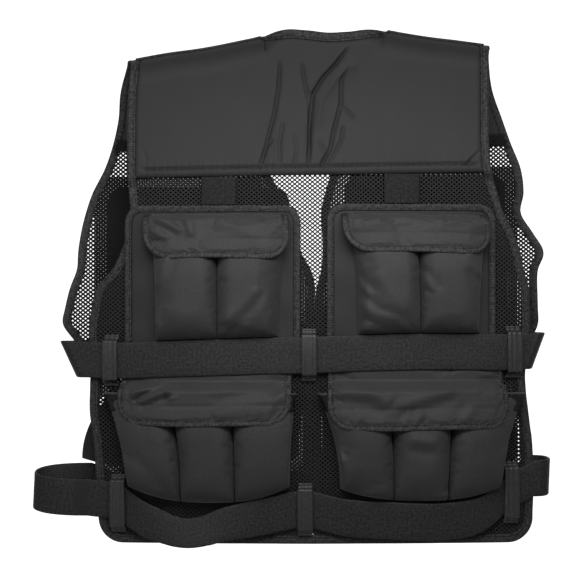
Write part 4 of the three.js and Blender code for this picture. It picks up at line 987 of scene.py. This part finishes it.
for belt in belts:
    run = beltRuns[belt["name"] + "Back"]["across"]
    x = np.linspace(run[0], run[-1], 150) * halfSpan
    t = np.linspace(0, 1, 150)
    lean = mix(belt["lean"][0], -belt["lean"][1], t) * np.abs(2 * t - 1) ** 4
    runs = {}
    for side in (back, front):
        top, stand = runAt(belt, side, x)
        twisted = side == back and belt["name"] == "lower"
        width = curve(beltTwist, "across", "width", x / halfSpan) if twisted else 1
        leaning = curve(beltTwist, "across", "out", x / halfSpan) if twisted else 0
        for k in (0, 1):
            out = stand + k * layer["webbing"]
            runs[side, 0, k] = lift(side, x, top, out)
            runs[side, 1, k] = lift(side, x + lean, top - beltWidth * width, out + leaning)
    share = np.arange(1, 20) / 20
    angle = share * math.pi
    bulge = (np.sin(angle) ** (2 / 2.6))[:, None]
    swing = (np.sign(np.cos(angle)) * np.abs(np.cos(angle)) ** (2 / 2.6))[:, None]

    def turned(start, end, reach, k):
        x = mix(start[0], end[0], share[:, None]) + (reach + k * layer["webbing"] * np.sign(reach)) * bulge
        y = mix((start[1] + end[1]) / 2, start[1], swing)
        z = mix(start[2], end[2], smooth(share)[:, None])
        return np.concatenate([x, y, z], -1)

    borders = []
    for k in (0, 1):
        pair = []
        for edge in (0, 1):
            behind, ahead = runs[back, edge, k], runs[front, edge, k][::-1]
            pair.append(np.concatenate([behind, turned(behind[-1], ahead[0], belt["reach"][1], k),
                                        ahead, turned(ahead[-1], behind[0], -belt["reach"][0], k)]))
        borders.append(pair)
    ring = bandPart(*borders, flatSection, (arcLength(borders[1][0]), beltWidth), ring=True)
    sew(belt["name"] + "_belt", "webbing", ring, webbing)

# Loops over the belts: name, belt and place in shares of the half span
loops = [
    ("back_upper_left", 0, -0.830), ("back_upper_middle", 0, -0.004), ("back_upper_right", 0, 0.850),
    ("back_lower_left", 1, -0.800), ("back_lower_middle", 1, -0.020), ("back_lower_right", 1, 0.840),
    ("front_upper_left", 0, -0.480), ("front_upper_right", 0, 0.480),
]
loopShape = dict(half=9, foot=6, slack=3)
for name, belt, across in loops:
    side, base = (back, layer["onNet"]) if name.startswith("back") else (front, layer["onBacking"])
    middle = across * halfSpan
    top, stand = runAt(belts[belt], side, middle + np.array([-1, 0, 1]) * loopShape["half"])
    upper, lower = top.max() + loopShape["slack"], top.min() - beltWidth - loopShape["slack"]
    hump = stand.max() + layer["webbing"] + 1.6 - base
    h = np.linspace(upper + loopShape["foot"], lower - loopShape["foot"], 60)
    rise = smooth((upper + 2 - h) / 4) * smooth((h - lower + 2) / 4)
    rise = base + hump * rise * (1 + 0.15 * np.cos((h - (upper + lower) / 2) / (upper - lower) * math.pi))
    u = np.linspace(-1, 1, 15)[None, :]
    ridges = 0.35 * np.cos(u * math.pi * 3)
    flat = np.stack(np.broadcast_arrays(middle + u * loopShape["half"], h[:, None]), -1)
    shell = shellPart(side, flat, rise[:, None] + 0 * u, rise[:, None] + layer["loop"] + ridges)
    rows = [stitchPart(side, line((x, upper + 4), (x, lower - 4), 40),
                       lambda x, y: np.interp(-y, -h, rise) + layer["loop"] - 0.2)
            for x in (middle - loopShape["half"] / 2, middle + loopShape["half"] / 2)]
    sew(name + "_loop", "nylon", [shell, *rows], ribbon, thread)

# Buckles: plain plates with rounded corners in the boxes of the solids
for belt in belts:
    name = belt["name"] + "_buckle"
    lo, hi = (np.array(v) * 1000 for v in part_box(name))
    u, v = np.meshgrid(np.linspace(0, 2 * math.pi, 65)[:-1], np.array([0, 0, 0.15, 0.85, 1, 1]))
    size = np.array([0.0, 0.94, 1.0, 1.0, 0.94, 0.0])[:, None]
    c, s = np.cos(u), np.sin(u)
    px = np.sign(c) * np.abs(c) ** 0.35 * size * (hi[0] - lo[0]) / 2 + (hi[0] + lo[0]) / 2
    pz = np.sign(s) * np.abs(s) ** 0.35 * size * (hi[2] - lo[2]) / 2 + (hi[2] + lo[2]) / 2
    points = np.stack([px, mix(lo[1], hi[1], v), pz], -1)
    plate = part(points, quadsOf(6, 64, closeColumns=True), np.stack([px, pz], -1))
    sew(name, "plastic", plate, moulded)
print("belts, loops and buckles ready")

# Stage, light and camera. The backdrop stands so far off that a camera in front of the vest is before it.
def addPlane(name, material, **values):
    bpy.ops.mesh.primitive_plane_add(**values)
    plane = bpy.context.object
    plane.name = name
    plane.data.materials.append(material)


paleFloor = plain("Pale floor", {"Base Color": linear("f2f2f2"), "Roughness": 0.9})
litPaper = plain("Lit white paper", {"Emission Color": linear("ffffff"), "Emission Strength": 1.0})
addPlane("floor", paleFloor, size=3, location=(0, 0, -0.85))
addPlane("backdrop", litPaper, size=20, location=(0, 10, 4.33), rotation=(math.pi / 2, 0, 0))

world = bpy.data.worlds.new("Studio")
bpy.context.scene.world = world
world.use_nodes = True
world.node_tree.nodes["Background"].inputs["Color"].default_value = (1, 1, 1, 1)
world.node_tree.nodes["Background"].inputs["Strength"].default_value = 0.28


def addLight(name, place, target, size, power, spread):
    data = bpy.data.lights.new(name, "AREA")
    data.shape = "RECTANGLE"
    data.size, data.size_y = size
    data.energy = power
    data.spread = spread
    light = addObject(name, data)
    light.location = place
    aim = np.array(target) - np.array(place)
    tilt, turn = math.atan2(np.hypot(aim[0], aim[1]), -aim[2]), math.atan2(aim[1], aim[0]) - math.pi / 2
    light.rotation_euler = (tilt, 0, turn)
    return light


addLight("Top softbox", (0.05, -0.70, 0.08), (0, -0.09, -0.27), (0.9, 0.3), 2.25, 1.6)
addLight("Overhead softbox", (0, -0.75, 0.45), (0, -0.08, -0.14), (0.9, 0.25), 0.9, 1.2)
addLight("Left softbox", (-1.4, -1.0, 0.1), (0, 0, -0.3), (0.5, 0.8), 2.5, math.pi)

camera = bpy.data.cameras.new("Camera")
camera.sensor_width = 36
camera.sensor_fit = "HORIZONTAL"
camera.lens = 203.8
cameraObject = addObject("Camera", camera)
cameraObject.location = (-0.024, -4.0, -0.300)
cameraObject.rotation_euler = (math.pi / 2, 0, 0)
bpy.context.scene.camera = cameraObject
bpy.context.scene.view_settings.view_transform = "Standard"
